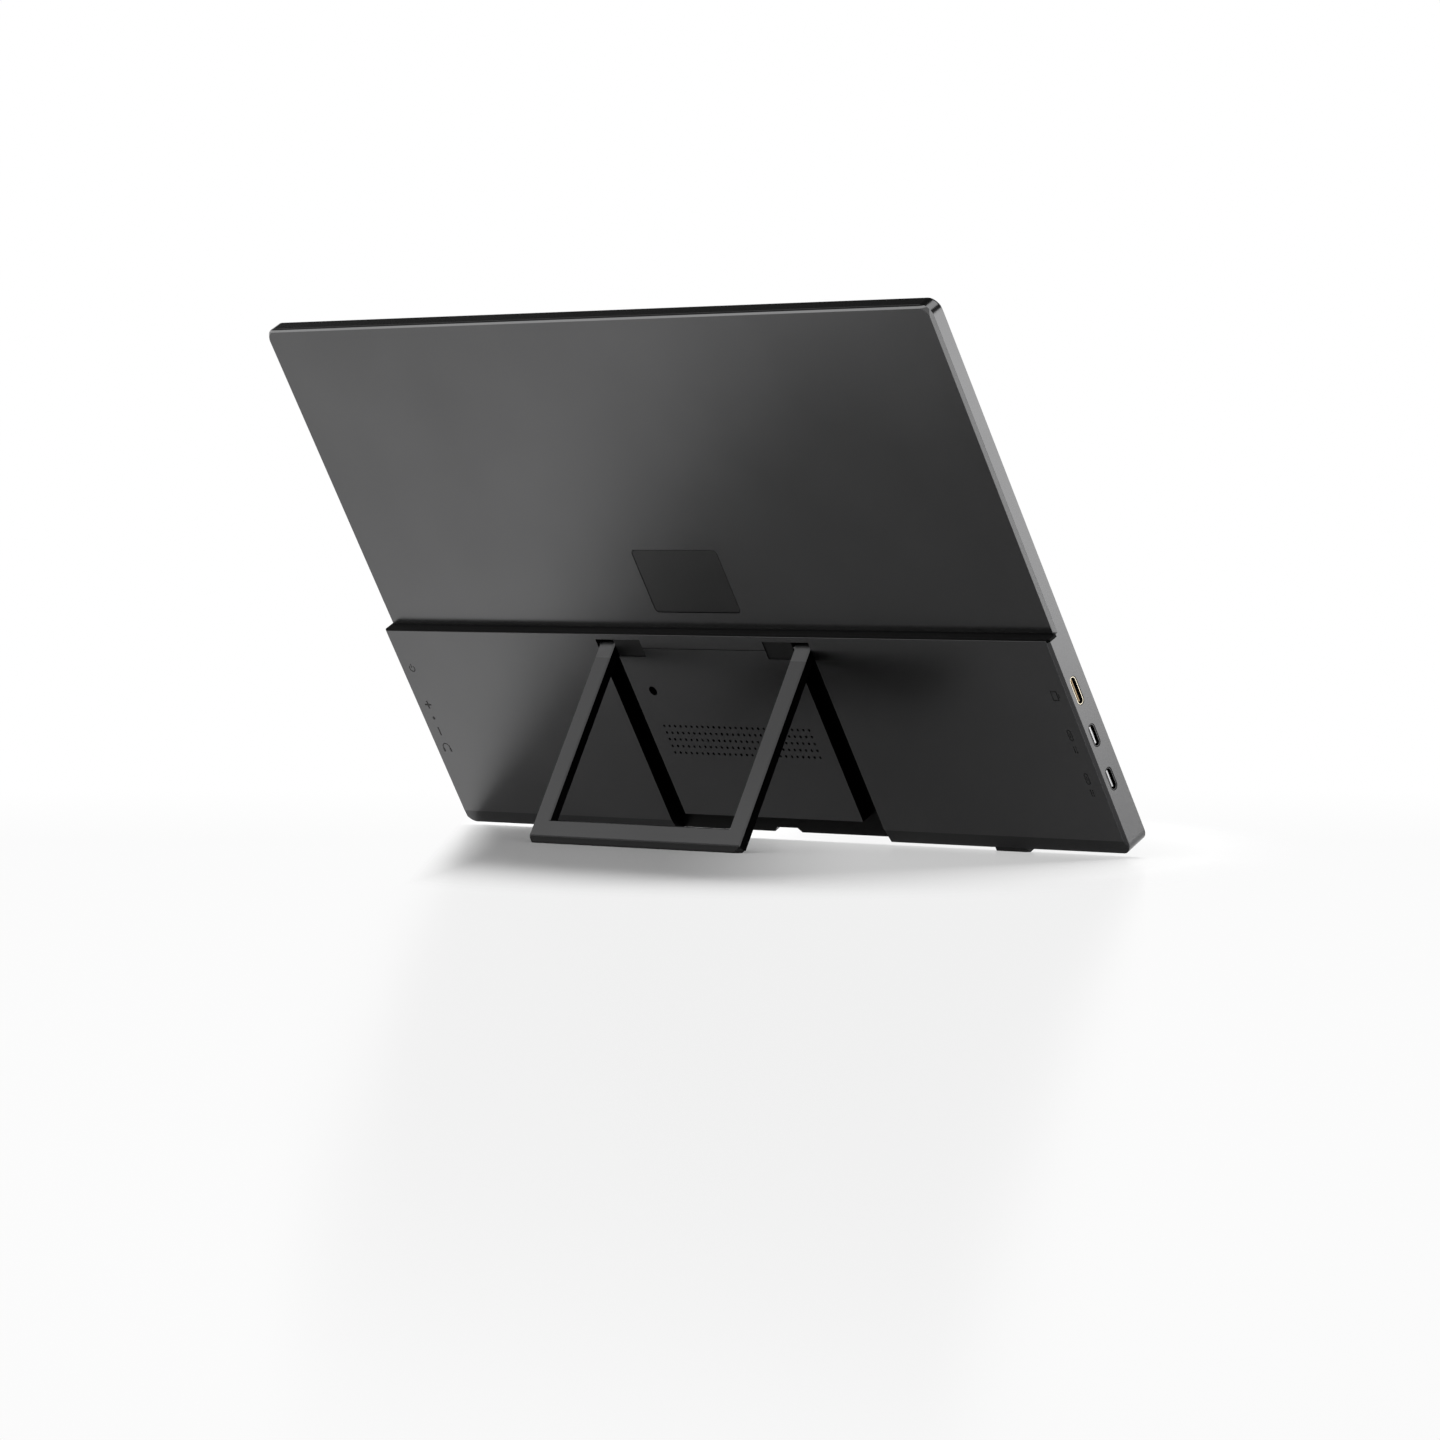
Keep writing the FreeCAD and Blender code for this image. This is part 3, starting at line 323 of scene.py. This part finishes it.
key_side = mark_across
port_side = -mark_across
plus_arm = 0.00113
ear_pad = 0.0019
screen_half_width, screen_half_height = 0.0013, 0.00185
screen_up = video_up + 0.00025
strokes = [
    stroke(ring_path(key_side, power_up, 0.0014, 42.0, 318.0, 24), mark_line, False),
    stroke(bar(key_side, power_up + 0.0011, 0.0, 0.0008), mark_line, False),
    stroke(bar(key_side, wheel_plus_up, 0.0, 0.0018), bold_line, False),
    stroke(bar(key_side + plus_arm, wheel_plus_up, 0.00072, 0.0), bold_line, False),
    stroke(bar(key_side - plus_arm, wheel_plus_up, 0.00072, 0.0), bold_line, False),
    stroke(ring_path(key_side, wheel_up, 0.00042, 0.0, 330.0, 12), dot_line, True),
    stroke(bar(key_side, wheel_minus_up, 0.0, 0.0019), bold_line, False),
    stroke(ring_path(key_side, jack_up, ear_pad, -90.0, 90.0, 16), mark_line, False),
    stroke(bar(key_side - ear_pad, jack_up - 0.0010, 0.0, 0.0009), pad_line, False),
    stroke(bar(key_side + ear_pad, jack_up - 0.0010, 0.0, 0.0009), pad_line, False),
    stroke([(port_side - screen_half_width, screen_up - screen_half_height),
            (port_side + screen_half_width, screen_up - screen_half_height),
            (port_side + screen_half_width, screen_up + screen_half_height),
            (port_side - screen_half_width, screen_up + screen_half_height)], mark_line, True),
    stroke(bar(port_side - 0.0020, screen_up, 0.0, 0.0009), mark_line, False),
]
for data_up in data_ups:
    plug_up = data_up + 0.0024
    flow_up = data_up - 0.0036
    strokes.append(stroke(slot_path(port_side, plug_up, 0.0022, 0.0008, 8), mark_line, True))
    strokes.append(stroke(bar(port_side, plug_up, 0.0, 0.0010), mark_line, False))
    strokes.append(stroke(bar(port_side + 0.0006, flow_up, 0.0, 0.0015), mark_line, False))
    for dash in (-0.0011, 0.0, 0.0011):
        strokes.append(stroke(bar(port_side - 0.0004, flow_up + dash, 0.0, 0.0004), mark_line, False))
mark_starts = np.cumsum([0] + [len(points) for points, faces in strokes])
mark_points = np.concatenate([points for points, faces in strokes])
mark_faces = np.concatenate([faces + start for start, (points, faces) in zip(mark_starts, strokes)])
mark_ink = coated("mark_ink", mark_tones, (0.45, 0.55), cloud=400.0, grain=9000.0, specular=0.2)
made("printed_marks", mark_points, mark_faces.tolist(), "display", mark_ink)


# Front frame: a thin frame that closes the housing round the screen. Its outer wall is finished like the
# housing, its front edge is a narrow polished cut, and its face is satin black.
rim_cut = 0.00035
rim_tone = (0.50, 0.50, 0.51)
rim_roughness = 0.12
frame_black = (0.014, 0.014, 0.015)
frame_roughness = 0.42

frame_finish = coated("frame_finish", housing_tones, housing_roughness, metallic=1.0)
rim_box = (
    (-2 * panel_half_width, 2 * panel_half_width),
    (-2 * body_depth, rim_cut - body_depth),
    (-panel_height, 2 * panel_height),
)
face_box = (
    (rim_cut + skin - panel_half_width, panel_half_width - rim_cut - skin),
    (-2 * body_depth, 0.0),
    (rim_cut + skin, panel_height - rim_cut - skin),
)
refinish(frame_finish, panel_origin, lean, [rim_box], rim_tone, rim_roughness, 1.0)
refinish(frame_finish, panel_origin, lean, [face_box], frame_black, frame_roughness, 0.0)
dress(frame_finish, "front_bezel")


# Screen: a liquid-crystal cell with a fine anti-glare coat, switched off, with a black printed border
# round its picture area.
picture_half_width = 0.1712
picture_low = 0.0257
picture_high = 0.2165
picture_tone = (0.0060, 0.0068, 0.0088)
picture_roughness = 0.24

screen_dark = coated("screen_dark", ((0.0022, 0.0022, 0.0024), (0.0028, 0.0028, 0.0031)), (0.18, 0.21),
                     cloud=6.0, grain=9000.0, relief=0.6e-6)
picture_box = (
    (-picture_half_width, picture_half_width),
    (-2 * body_depth, 0.0),
    (picture_low, picture_high),
)
refinish(screen_dark, panel_origin, lean, [picture_box], picture_tone, picture_roughness, 0.0)
dress(screen_dark, "lcd_cell")


# Sheets behind the screen: prism and diffuser films, an acrylic light guide, a white reflector and the
# foam frame that seals the screen's edge. They lie loose in the steel tray, held by the front frame.
film_white = coated("film_white", ((0.70, 0.71, 0.72), (0.78, 0.79, 0.80)), (0.30, 0.40), grain=6000.0)
guide_clear = coated("guide_clear", ((0.80, 0.82, 0.82), (0.86, 0.88, 0.88)), (0.08, 0.14), grain=1500.0)
foam_black = coated("foam_black", ((0.010, 0.010, 0.010), (0.020, 0.020, 0.020)), (0.85, 0.95),
                    grain=5000.0, relief=4.0e-5)
dress(film_white, "optical_films", "reflector_sheet")
dress(guide_clear, "light_guide")
dress(foam_black, "panel_gasket", "speaker_gasket_left", "speaker_gasket_right")


# Tray and its light bar: folded steel sheet that carries the panel, and a flexible strip of white
# emitters along its foot.
tray_steel = coated("tray_steel", ((0.52, 0.52, 0.53), (0.60, 0.60, 0.61)), (0.30, 0.42), metallic=1.0,
                    grain=900.0)
led_white = coated("led_white", ((0.72, 0.70, 0.55), (0.80, 0.78, 0.64)), (0.35, 0.45))
dress(tray_steel, "backlight_tray")
dress(led_white, "led_strip")


# Boards: green solder mask over copper, with black moulded chips and grey flat cables. Screws hold them
# to bosses inside the housing.
board_green = coated("board_green", ((0.010, 0.060, 0.025), (0.016, 0.085, 0.036)), (0.28, 0.38),
                     cloud=160.0, grain=900.0, relief=1.2e-5)
chip_black = coated("chip_black", ((0.014, 0.014, 0.015), (0.022, 0.022, 0.023)), (0.45, 0.6), grain=4000.0)
ribbon_grey = coated("ribbon_grey", ((0.30, 0.30, 0.31), (0.40, 0.40, 0.41)), (0.35, 0.5), grain=1200.0)
dress(board_green, "main_board", "control_board", "panel_board")
dress(chip_black, "board_components", "power_switch", "jog_switch", "headphone_jack")
dress(ribbon_grey, "control_ribbon", "speaker_lead", "panel_cable")


# Inside screws and posts: plated steel screws that hold the boards and hinges, and turned brass posts
# riveted to the tray, which the case screws reach.
screw_steel = coated("screw_steel", ((0.20, 0.20, 0.205), (0.28, 0.28, 0.285)), (0.24, 0.34), metallic=1.0,
                     cloud=300.0, grain=7000.0)
post_brass = coated("post_brass", ((0.62, 0.44, 0.18), (0.70, 0.51, 0.22)), (0.22, 0.34), metallic=1.0,
                    cloud=200.0)
dress(screw_steel, "board_screws", "hinge_screws")
dress(post_brass, "case_posts")


# Case screws: two blackened steel screws, sunk in wells in the back, which hold the housing to the tray's
# posts. Each has a domed head with a cross recess.
case_screw_across = 0.0370
case_screw_up = 0.0650
head_radius = 0.0018
head_back = 0.0017
head_front = 0.0029
shank_radius = 0.00075
shank_end = 0.0068
dome = 0.00025
cross_half_width = 0.00027
cross_reach = 0.0011
cross_depth = 0.0006
wall_slope = 0.00003
quarter_steps = 6


def cross_screw(across, up):
    """Turned screw: a profile of rings about its axis. Over the head the ring's angles gather at the edges of
    the four arms, where the arm's half width over the radius is the sine, so the recess has clean walls."""
    inner = np.linspace(0.0001, cross_reach, 7)
    outer = np.linspace(cross_reach + wall_slope, head_radius, 6)
    top_radius = np.concatenate([inner, outer])
    arm = np.arcsin(np.minimum(cross_half_width / top_radius, math.sin(math.radians(43.0))))
    gap = np.minimum(wall_slope / top_radius, math.radians(0.8))
    share = np.linspace(0.0, 1.0, quarter_steps)
    inside = arm[:, None] * share
    outside = arm[:, None] + gap[:, None] + (math.pi / 4 - arm - gap)[:, None] * share
    eighth = np.concatenate([inside, outside], axis=1)
    quarter = np.concatenate([eighth, math.pi / 2 - eighth[:, -2::-1]], axis=1)[:, :-1]
    turn = np.concatenate([quarter + side * math.pi / 2 for side in range(4)], axis=1)
    in_arm = np.concatenate([np.ones(quarter_steps), np.zeros(quarter_steps)])
    in_arm = np.tile(np.concatenate([in_arm, in_arm[-2::-1]])[:-1], 4)
    sunk = (top_radius <= cross_reach)[:, None] * np.maximum(
        in_arm[None, :], (top_radius < 1.2 * cross_half_width)[:, None])
    rise = dome * (1.0 - (top_radius / head_radius) ** 2)
    top_depth = head_back + dome - rise[:, None] + cross_depth * sunk
    low_radius = np.array([head_radius, shank_radius, shank_radius, shank_radius / 4])
    low_depth = np.array([head_front, head_front, shank_end - shank_radius, shank_end])
    turns = np.concatenate([turn, np.repeat(turn[-1:], len(low_radius), axis=0)])
    radii = np.concatenate([top_radius, low_radius])[:, None]
    depths = np.concatenate([top_depth, np.repeat(low_depth[:, None], turn.shape[1], axis=1)])
    points = panel_place(across + radii * np.cos(turns), up + radii * np.sin(turns), depths)
    rows, columns = turns.shape
    faces = grid_faces(rows, columns, False, True).tolist()
    last = (rows - 1) * columns
    faces += [list(range(columns)), list(range(last + columns - 1, last - 1, -1))]
    return points.reshape(-1, 3), faces


blackened_steel = coated("blackened_steel", ((0.060, 0.060, 0.062), (0.085, 0.085, 0.088)), (0.22, 0.30),
                         metallic=1.0, cloud=400.0, grain=8000.0)
screw_points, screw_faces = cross_screw(case_screw_across, case_screw_up)
mirror_points, mirror_faces = cross_screw(-case_screw_across, case_screw_up)
case_screws = made(
    "sunk_screws", np.concatenate([screw_points, mirror_points]),
    screw_faces + [[corner + len(screw_points) for corner in face] for face in mirror_faces],
    "display", blackened_steel,
)
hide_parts("case_screws")


# Sockets: deep-drawn shells, gilt for the video socket and dark nickelled steel for the two data sockets,
# each round a black moulded tongue with a metal tip and gilt contacts on both of its faces.
tip_end = -0.17690
steel_tip = (0.34, 0.34, 0.345)
gilt_tip = (0.22, 0.15, 0.075)
video_depth = 0.00455
gilt_half = 0.0002
moulding_tones = ((0.012, 0.012, 0.012), (0.018, 0.018, 0.018))
socket_steel = coated("socket_steel", ((0.050, 0.050, 0.051), (0.068, 0.068, 0.069)), (0.20, 0.28),
                      metallic=1.0, cloud=250.0, grain=5000.0)
socket_gilt = coated("socket_gilt", ((0.42, 0.38, 0.30), (0.48, 0.44, 0.35)), (0.18, 0.26), metallic=1.0,
                     cloud=250.0, grain=5000.0)
tongue_black = coated("tongue_black", moulding_tones, (0.4, 0.5), grain=4000.0)
tongue_gilt = coated("tongue_gilt", moulding_tones, (0.4, 0.5), grain=4000.0)
tip_box = ((-panel_half_width, tip_end), (-body_depth, 0.0), (0.0, ledge_up))
refinish(tongue_black, panel_origin, lean, [tip_box], steel_tip, 0.22, 1.0)
gilt_box = (tip_box[0], (-video_depth - gilt_half, gilt_half - video_depth), tip_box[2])
refinish(tongue_gilt, panel_origin, lean, [gilt_box], gilt_tip, 0.25, 1.0)
dress(socket_steel, "usb_upper_shell", "usb_lower_shell")
dress(socket_gilt, "video_shell")
dress(tongue_black, "usb_upper_tongue", "usb_lower_tongue")
dress(tongue_gilt, "video_tongue")

contact_start = -0.1768
contact_end = -0.1731
contact_proud = 0.00003
tongue_half = 0.00035
contact_share = 0.52
data_depth = 0.00458
video_pitch = 0.0008
data_pitch = 0.0005


def contact_rows(up, depth, upper, lower, pitch):
    """Lowest and highest corners of the contacts on a tongue: evenly pitched bars on its two faces."""
    corners = []
    for count, face in ((upper, -1.0), (lower, 1.0)):
        middle = up + (np.arange(count) - (count - 1) / 2) * pitch
        half = pitch * contact_share / 2
        near = depth + face * tongue_half
        far = near + face * contact_proud
        low = np.stack([np.full(count, contact_start), middle - half, np.full(count, min(near, far))], axis=1)
        high = np.stack([np.full(count, contact_end), middle + half, np.full(count, max(near, far))], axis=1)
        corners.append(np.stack([low, high], axis=1))
    return np.concatenate(corners)


contacts = np.concatenate(
    [contact_rows(video_up, video_depth, 10, 9, video_pitch)]
    + [contact_rows(data_up, data_depth, 12, 12, data_pitch) for data_up in data_ups]
)
corner_choice = np.array(
    [[0, 0, 0], [1, 0, 0], [1, 1, 0], [0, 1, 0], [0, 0, 1], [1, 0, 1], [1, 1, 1], [0, 1, 1]])
contact_corners = contacts[:, corner_choice, np.arange(3)]
contact_points = panel_place(contact_corners[..., 0], contact_corners[..., 1], contact_corners[..., 2])
box_faces = np.array([[0, 3, 2, 1], [4, 5, 6, 7], [0, 1, 5, 4], [1, 2, 6, 5], [2, 3, 7, 6], [3, 0, 4, 7]])
contact_faces = (box_faces + 8 * np.arange(len(contacts))[:, None, None]).reshape(-1, 4)
contact_gilt = coated("contact_gilt", ((0.72, 0.52, 0.22), (0.80, 0.59, 0.27)), (0.16, 0.24), metallic=1.0,
                      cloud=500.0, grain=9000.0)
made("socket_contacts", contact_points, contact_faces.tolist(), "display", contact_gilt)


# Speakers: two flat drivers in black cases behind the drilled grille, pressed on foam, with a woven dust
# cloth glued over the holes from inside.
cloth_repeat = 2200.0
cloth_relief = 6.0e-5

speaker_black = coated("speaker_black", ((0.010, 0.010, 0.011), (0.016, 0.016, 0.017)), (0.5, 0.65),
                       grain=1800.0)
dress(speaker_black, "speaker_left", "speaker_right")


def woven_cloth():
    """Black cloth whose height is the greater of two bands of threads that cross at right angles."""
    material = coated("woven_cloth", ((0.003, 0.003, 0.003), (0.006, 0.006, 0.006)), (0.8, 0.9), specular=0.1)
    nodes, links = material.node_tree.nodes, material.node_tree.links
    axes = own_axes(nodes, links, panel_origin, lean)
    threads = []
    for output in (axes.outputs["X"], axes.outputs["Z"]):
        turn = nodes.new("ShaderNodeMath")
        turn.operation = "MULTIPLY"
        turn.inputs[1].default_value = 2 * math.pi * cloth_repeat
        links.new(output, turn.inputs[0])
        wave = nodes.new("ShaderNodeMath")
        wave.operation = "SINE"
        links.new(turn.outputs[0], wave.inputs[0])
        threads.append(wave.outputs[0])
    bump = nodes["Bump"]
    bump.inputs["Distance"].default_value = cloth_relief
    links.new(joined(nodes, links, "MAXIMUM", *threads), bump.inputs["Height"])
    return material


dress(woven_cloth(), "grille_mesh")


# Stand hinges: steel brackets, shafts and friction washers, hidden under two small moulded black plates
# that are let into the back.
hinge_steel = coated("hinge_steel", ((0.45, 0.45, 0.46), (0.55, 0.55, 0.56)), (0.25, 0.38), metallic=1.0,
                     grain=4000.0)
plate_black = coated("plate_black", ((0.003, 0.003, 0.003), (0.005, 0.005, 0.005)), (0.34, 0.42),
                     grain=4200.0, specular=0.18)
dress(hinge_steel, "hinge_bracket_left", "hinge_bracket_right", "hinge_shaft_left", "hinge_shaft_right",
      "hinge_washers_left", "hinge_washers_right")
dress(plate_black, "hinge_cover_left", "hinge_cover_right")


# Stand: a U of flat aluminium bar, blasted and anodised like the housing, on two cast arms that are pinned
# to the hinge shafts and keep a slightly lighter skin. The sides of the bar and the arms are painted black as
# painted shade.
stand_origin = Vector((0.0, -0.008676, 0.074609))
stand_turn = math.radians(-27.219)
bar_outer = 0.0020
bar_chamfer = 0.0005
stand_metal = coated("stand_metal", ((0.102, 0.102, 0.103), (0.116, 0.116, 0.117)), housing_roughness,
                     metallic=1.0)
arm_metal = coated("arm_metal", ((0.128, 0.128, 0.129), (0.146, 0.146, 0.147)), (0.27, 0.33), metallic=1.0,
                   cloud=160.0, grain=3200.0)
bar_sides = (
    (-panel_half_width, panel_half_width),
    (-panel_height, bar_outer - bar_chamfer - skin),
    (-panel_height, panel_height),
)
# Painted shade: the sides of the bar and the arms are painted black.
for bar_finish in (stand_metal, arm_metal):
    refinish(bar_finish, stand_origin, stand_turn, [bar_sides], painted_shade_black, black_roughness, 1.0)
dress(stand_metal, "stand_frame")
dress(arm_metal, "hinge_arm_left", "hinge_arm_right")


# Rubber: a moulded strip pressed on to the foot of the stand, and two pads stuck under the housing. All
# three stand on the table.
rubber_black = coated("rubber_black", ((0.010, 0.010, 0.010), (0.017, 0.017, 0.017)), (0.55, 0.7),
                      grain=3200.0, relief=1.5e-5, specular=0.2)
dress(rubber_black, "stand_strip", "foot_left", "foot_right")


# Controls: a power button and a thumb wheel in the side wall, moulded and lacquered black. The button slides
# on its switch, and the wheel turns on its own.
control_black = coated("control_black", ((0.020, 0.020, 0.021), (0.028, 0.028, 0.029)), (0.30, 0.4),
                       grain=3000.0)
dress(control_black, "power_button", "jog_wheel")


# Label plate: a bare black film plate with round corners, stuck into a shallow seat in the upper back, with a
# narrow dark gap round it: a real gap, its seat painted black as painted shade.
label_black = coated("label_black", ((0.008, 0.008, 0.008), (0.011, 0.011, 0.011)), (0.30, 0.36),
                     grain=3600.0, specular=0.32)
dress(label_black, "label_plate")


# Stage: a white sheet floor with a faint gloss, which goes over to plain white away from the object. The
# camera sees its shadow inside an oval that points at it, thinned on the sockets' side by a flat glowing grey
# that is painted lighter floor in place of part of the shadow.
floor_reach = 30.0
floor_tone = (0.90, 0.90, 0.90, 1.0)
floor_gloss = 0.13
floor_roughness = 0.16
gloss_middle = (-0.85, 0.83, 0.0)
gloss_fade = (1.25, 1.70)
oval_fade = (0.55, 1.05)
mirror_fade = (0.16, 0.50)
oval_middle = (-0.0246, -0.0249, 0.0)
oval_turn = math.radians(45.4)
oval_reach = (0.19, 0.34)
painted_floor_grey = 0.82
end_fade = (0.555, 0.69)
thin_fade = (0.26, -0.16)
thin_share = 0.62
floor_grid = np.linspace(-floor_reach, floor_reach, 3)
floor_x, floor_y = np.meshgrid(floor_grid, floor_grid)
floor_points = np.stack([floor_x, floor_y, np.zeros_like(floor_x)], axis=-1).reshape(-1, 3)
floor_mesh = bpy.data.meshes.new("floor")
floor_mesh.from_pydata(floor_points.tolist(), [], grid_faces(3, 3, False, False)[:, ::-1].tolist())
floor = bpy.data.objects.new("floor", floor_mesh)
bpy.context.scene.collection.objects.link(floor)


def seen_rays(nodes, links):
    """Two sockets that are 1 for what the camera looks at, and for what a mirror or glass looks at."""
    path = nodes.new("ShaderNodeLightPath")
    mirrored = joined(
        nodes, links, "MAXIMUM", path.outputs["Is Glossy Ray"], path.outputs["Is Transmission Ray"])
    return path.outputs["Is Camera Ray"], mirrored


def faded(nodes, links, distance, start, end, most=1.0):
    """Socket that goes smoothly from 0 to its most as a distance goes from its start to its end."""
    fade = nodes.new("ShaderNodeMapRange")
    fade.interpolation_type = "SMOOTHSTEP"
    fade.inputs["From Min"].default_value = start
    fade.inputs["From Max"].default_value = end
    fade.inputs["To Max"].default_value = most
    links.new(distance, fade.inputs["Value"])
    return fade.outputs["Result"]


def floor_finish():
    """White floor: a matt sheet near the object, plain white further out, under a faint gloss that fades."""
    material = bpy.data.materials.new("floor_white")
    material.use_nodes = True
    nodes, links = material.node_tree.nodes, material.node_tree.links
    nodes.clear()
    place = nodes.new("ShaderNodeTexCoord")
    away = nodes.new("ShaderNodeVectorMath")
    away.operation = "LENGTH"
    links.new(place.outputs["Object"], away.inputs[0])
    oval = nodes.new("ShaderNodeMapping")
    oval.vector_type = "TEXTURE"
    oval.inputs["Location"].default_value = oval_middle
    oval.inputs["Rotation"].default_value = (0.0, 0.0, oval_turn)
    oval.inputs["Scale"].default_value = (*oval_reach, 1.0)
    links.new(place.outputs["Object"], oval.inputs["Vector"])
    beside = nodes.new("ShaderNodeVectorMath")
    beside.operation = "LENGTH"
    links.new(oval.outputs["Vector"], beside.inputs[0])
    looked_at, mirrored = seen_rays(nodes, links)
    across = nodes.new("ShaderNodeSeparateXYZ")
    links.new(oval.outputs["Vector"], across.inputs["Vector"])
    outside = joined(
        nodes, links, "MAXIMUM",
        faded(nodes, links, beside.outputs["Value"], *oval_fade),
        faded(nodes, links, across.outputs["X"], *end_fade),
    )
    thinned = faded(nodes, links, across.outputs["X"], *thin_fade, thin_share)
    share = joined(
        nodes, links, "MAXIMUM",
        joined(nodes, links, "MULTIPLY", joined(nodes, links, "MAXIMUM", outside, thinned), looked_at),
        joined(nodes, links, "MULTIPLY", faded(nodes, links, away.outputs["Value"], *mirror_fade), mirrored),
    )
    # Painted lighter floor: a flat glowing grey that the camera sees in place of part of the shadow.
    greyed = nodes.new("ShaderNodeMapRange")
    greyed.inputs["To Min"].default_value = painted_floor_grey
    links.new(joined(nodes, links, "MAXIMUM", outside, mirrored), greyed.inputs["Value"])
    sheet = nodes.new("ShaderNodeBsdfDiffuse")
    sheet.inputs["Color"].default_value = floor_tone
    white = nodes.new("ShaderNodeEmission")
    links.new(greyed.outputs["Result"], white.inputs["Strength"])
    ground = nodes.new("ShaderNodeMixShader")
    links.new(share, ground.inputs["Fac"])
    links.new(sheet.outputs[0], ground.inputs[1])
    links.new(white.outputs[0], ground.inputs[2])
    gloss = nodes.new("ShaderNodeBsdfGlossy")
    gloss.distribution = "MULTI_GGX"
    gloss.inputs["Roughness"].default_value = floor_roughness
    near = nodes.new("ShaderNodeVectorMath")
    near.operation = "DISTANCE"
    near.inputs[1].default_value = gloss_middle
    links.new(place.outputs["Object"], near.inputs[0])
    fade = nodes.new("ShaderNodeMapRange")
    fade.inputs["From Min"].default_value = gloss_fade[0]
    fade.inputs["From Max"].default_value = gloss_fade[1]
    fade.inputs["To Min"].default_value = floor_gloss
    fade.inputs["To Max"].default_value = 0.0
    links.new(near.outputs["Value"], fade.inputs["Value"])
    both = nodes.new("ShaderNodeMixShader")
    links.new(fade.outputs["Result"], both.inputs["Fac"])
    links.new(ground.outputs[0], both.inputs[1])
    links.new(gloss.outputs[0], both.inputs[2])
    output = nodes.new("ShaderNodeOutputMaterial")
    links.new(both.outputs[0], output.inputs["Surface"])
    return material


floor_mesh.materials.append(floor_finish())


# Studio: white walls up to a dark ceiling that slopes down on the screen's side, one wide soft lamp high
# behind the object, which lights the floor, and two soft panels, one that the side wall mirrors and one that
# the round corner mirrors.
ceiling_rise = (0.0, -0.25, 0.97)
wall_top, ceiling_start = 0.30, 0.60
ceiling_light = 0.05
sky_on_floor = 1.4
lamp_target = Vector((0.0, 0.0, 0.1))

world = bpy.data.worlds.new("studio")
bpy.context.scene.world = world
world.use_nodes = True
sky_nodes, sky_links = world.node_tree.nodes, world.node_tree.links
sky = sky_nodes["Background"]
sky.inputs["Color"].default_value = (1.0, 1.0, 1.0, 1.0)
sky_place = sky_nodes.new("ShaderNodeTexCoord")
sky_rise = sky_nodes.new("ShaderNodeVectorMath")
sky_rise.operation = "DOT_PRODUCT"
sky_rise.inputs[1].default_value = ceiling_rise
sky_links.new(sky_place.outputs["Generated"], sky_rise.inputs[0])
sky_height = sky_nodes.new("ShaderNodeMapRange")
sky_height.interpolation_type = "SMOOTHSTEP"
sky_height.inputs["From Min"].default_value = wall_top
sky_height.inputs["From Max"].default_value = ceiling_start
sky_height.inputs["To Min"].default_value = 1.0
sky_height.inputs["To Max"].default_value = ceiling_light
sky_links.new(sky_rise.outputs["Value"], sky_height.inputs["Value"])
sky_level = sky_nodes.new("ShaderNodeMapRange")
sky_level.inputs["To Min"].default_value = sky_on_floor
seen = joined(sky_nodes, sky_links, "MAXIMUM", *seen_rays(sky_nodes, sky_links))
sky_links.new(seen, sky_level.inputs["Value"])
sky_strength = joined(
    sky_nodes, sky_links, "MULTIPLY", sky_height.outputs["Result"], sky_level.outputs["Result"])
sky_links.new(sky_strength, sky.inputs["Strength"])


def soft_lamp(name, place, size, energy):
    """Square-edged soft lamp that faces the middle of the object."""
    light = bpy.data.lights.new(name, "AREA")
    light.shape = "RECTANGLE"
    light.size, light.size_y = size
    light.energy = energy
    lamp = bpy.data.objects.new(name, light)
    lamp.location = place
    lamp.rotation_euler = (lamp_target - lamp.location).to_track_quat("-Z", "Y").to_euler()
    lamp.visible_camera = False
    bpy.context.scene.collection.objects.link(lamp)
    return lamp


high_lamp = soft_lamp("high_lamp", place=(0.34, -1.16, 1.48), size=(1.4, 1.4), energy=58.0)
port_panel = soft_lamp("port_panel", place=(-1.245, -1.053, 0.28), size=(1.0, 0.8), energy=6.9)
corner_panel = soft_lamp("corner_panel", place=(-0.706, -0.161, 1.465), size=(1.0, 1.0), energy=8.0)
high_lamp.visible_glossy = False
port_panel.visible_diffuse = False
corner_panel.visible_diffuse = False

bpy.context.scene.view_settings.view_transform = "Standard"


# Camera: low behind the object and to the side of its sockets, with a long lens, where the photographer
# stood.
camera_place = (-1.6200, 1.5837, 0.1155)
camera_aim = Vector((0.7113, -0.7022, -0.0302))
camera_lens = 150.58
camera_sensor = 36.0

camera = bpy.data.cameras.new("camera")
camera.lens = camera_lens
camera.sensor_width = camera_sensor
camera.clip_end = 100.0
camera_object = bpy.data.objects.new("camera", camera)
camera_object.location = camera_place
camera_object.rotation_euler = camera_aim.to_track_quat("-Z", "Y").to_euler()
bpy.context.scene.collection.objects.link(camera_object)
bpy.context.scene.camera = camera_object
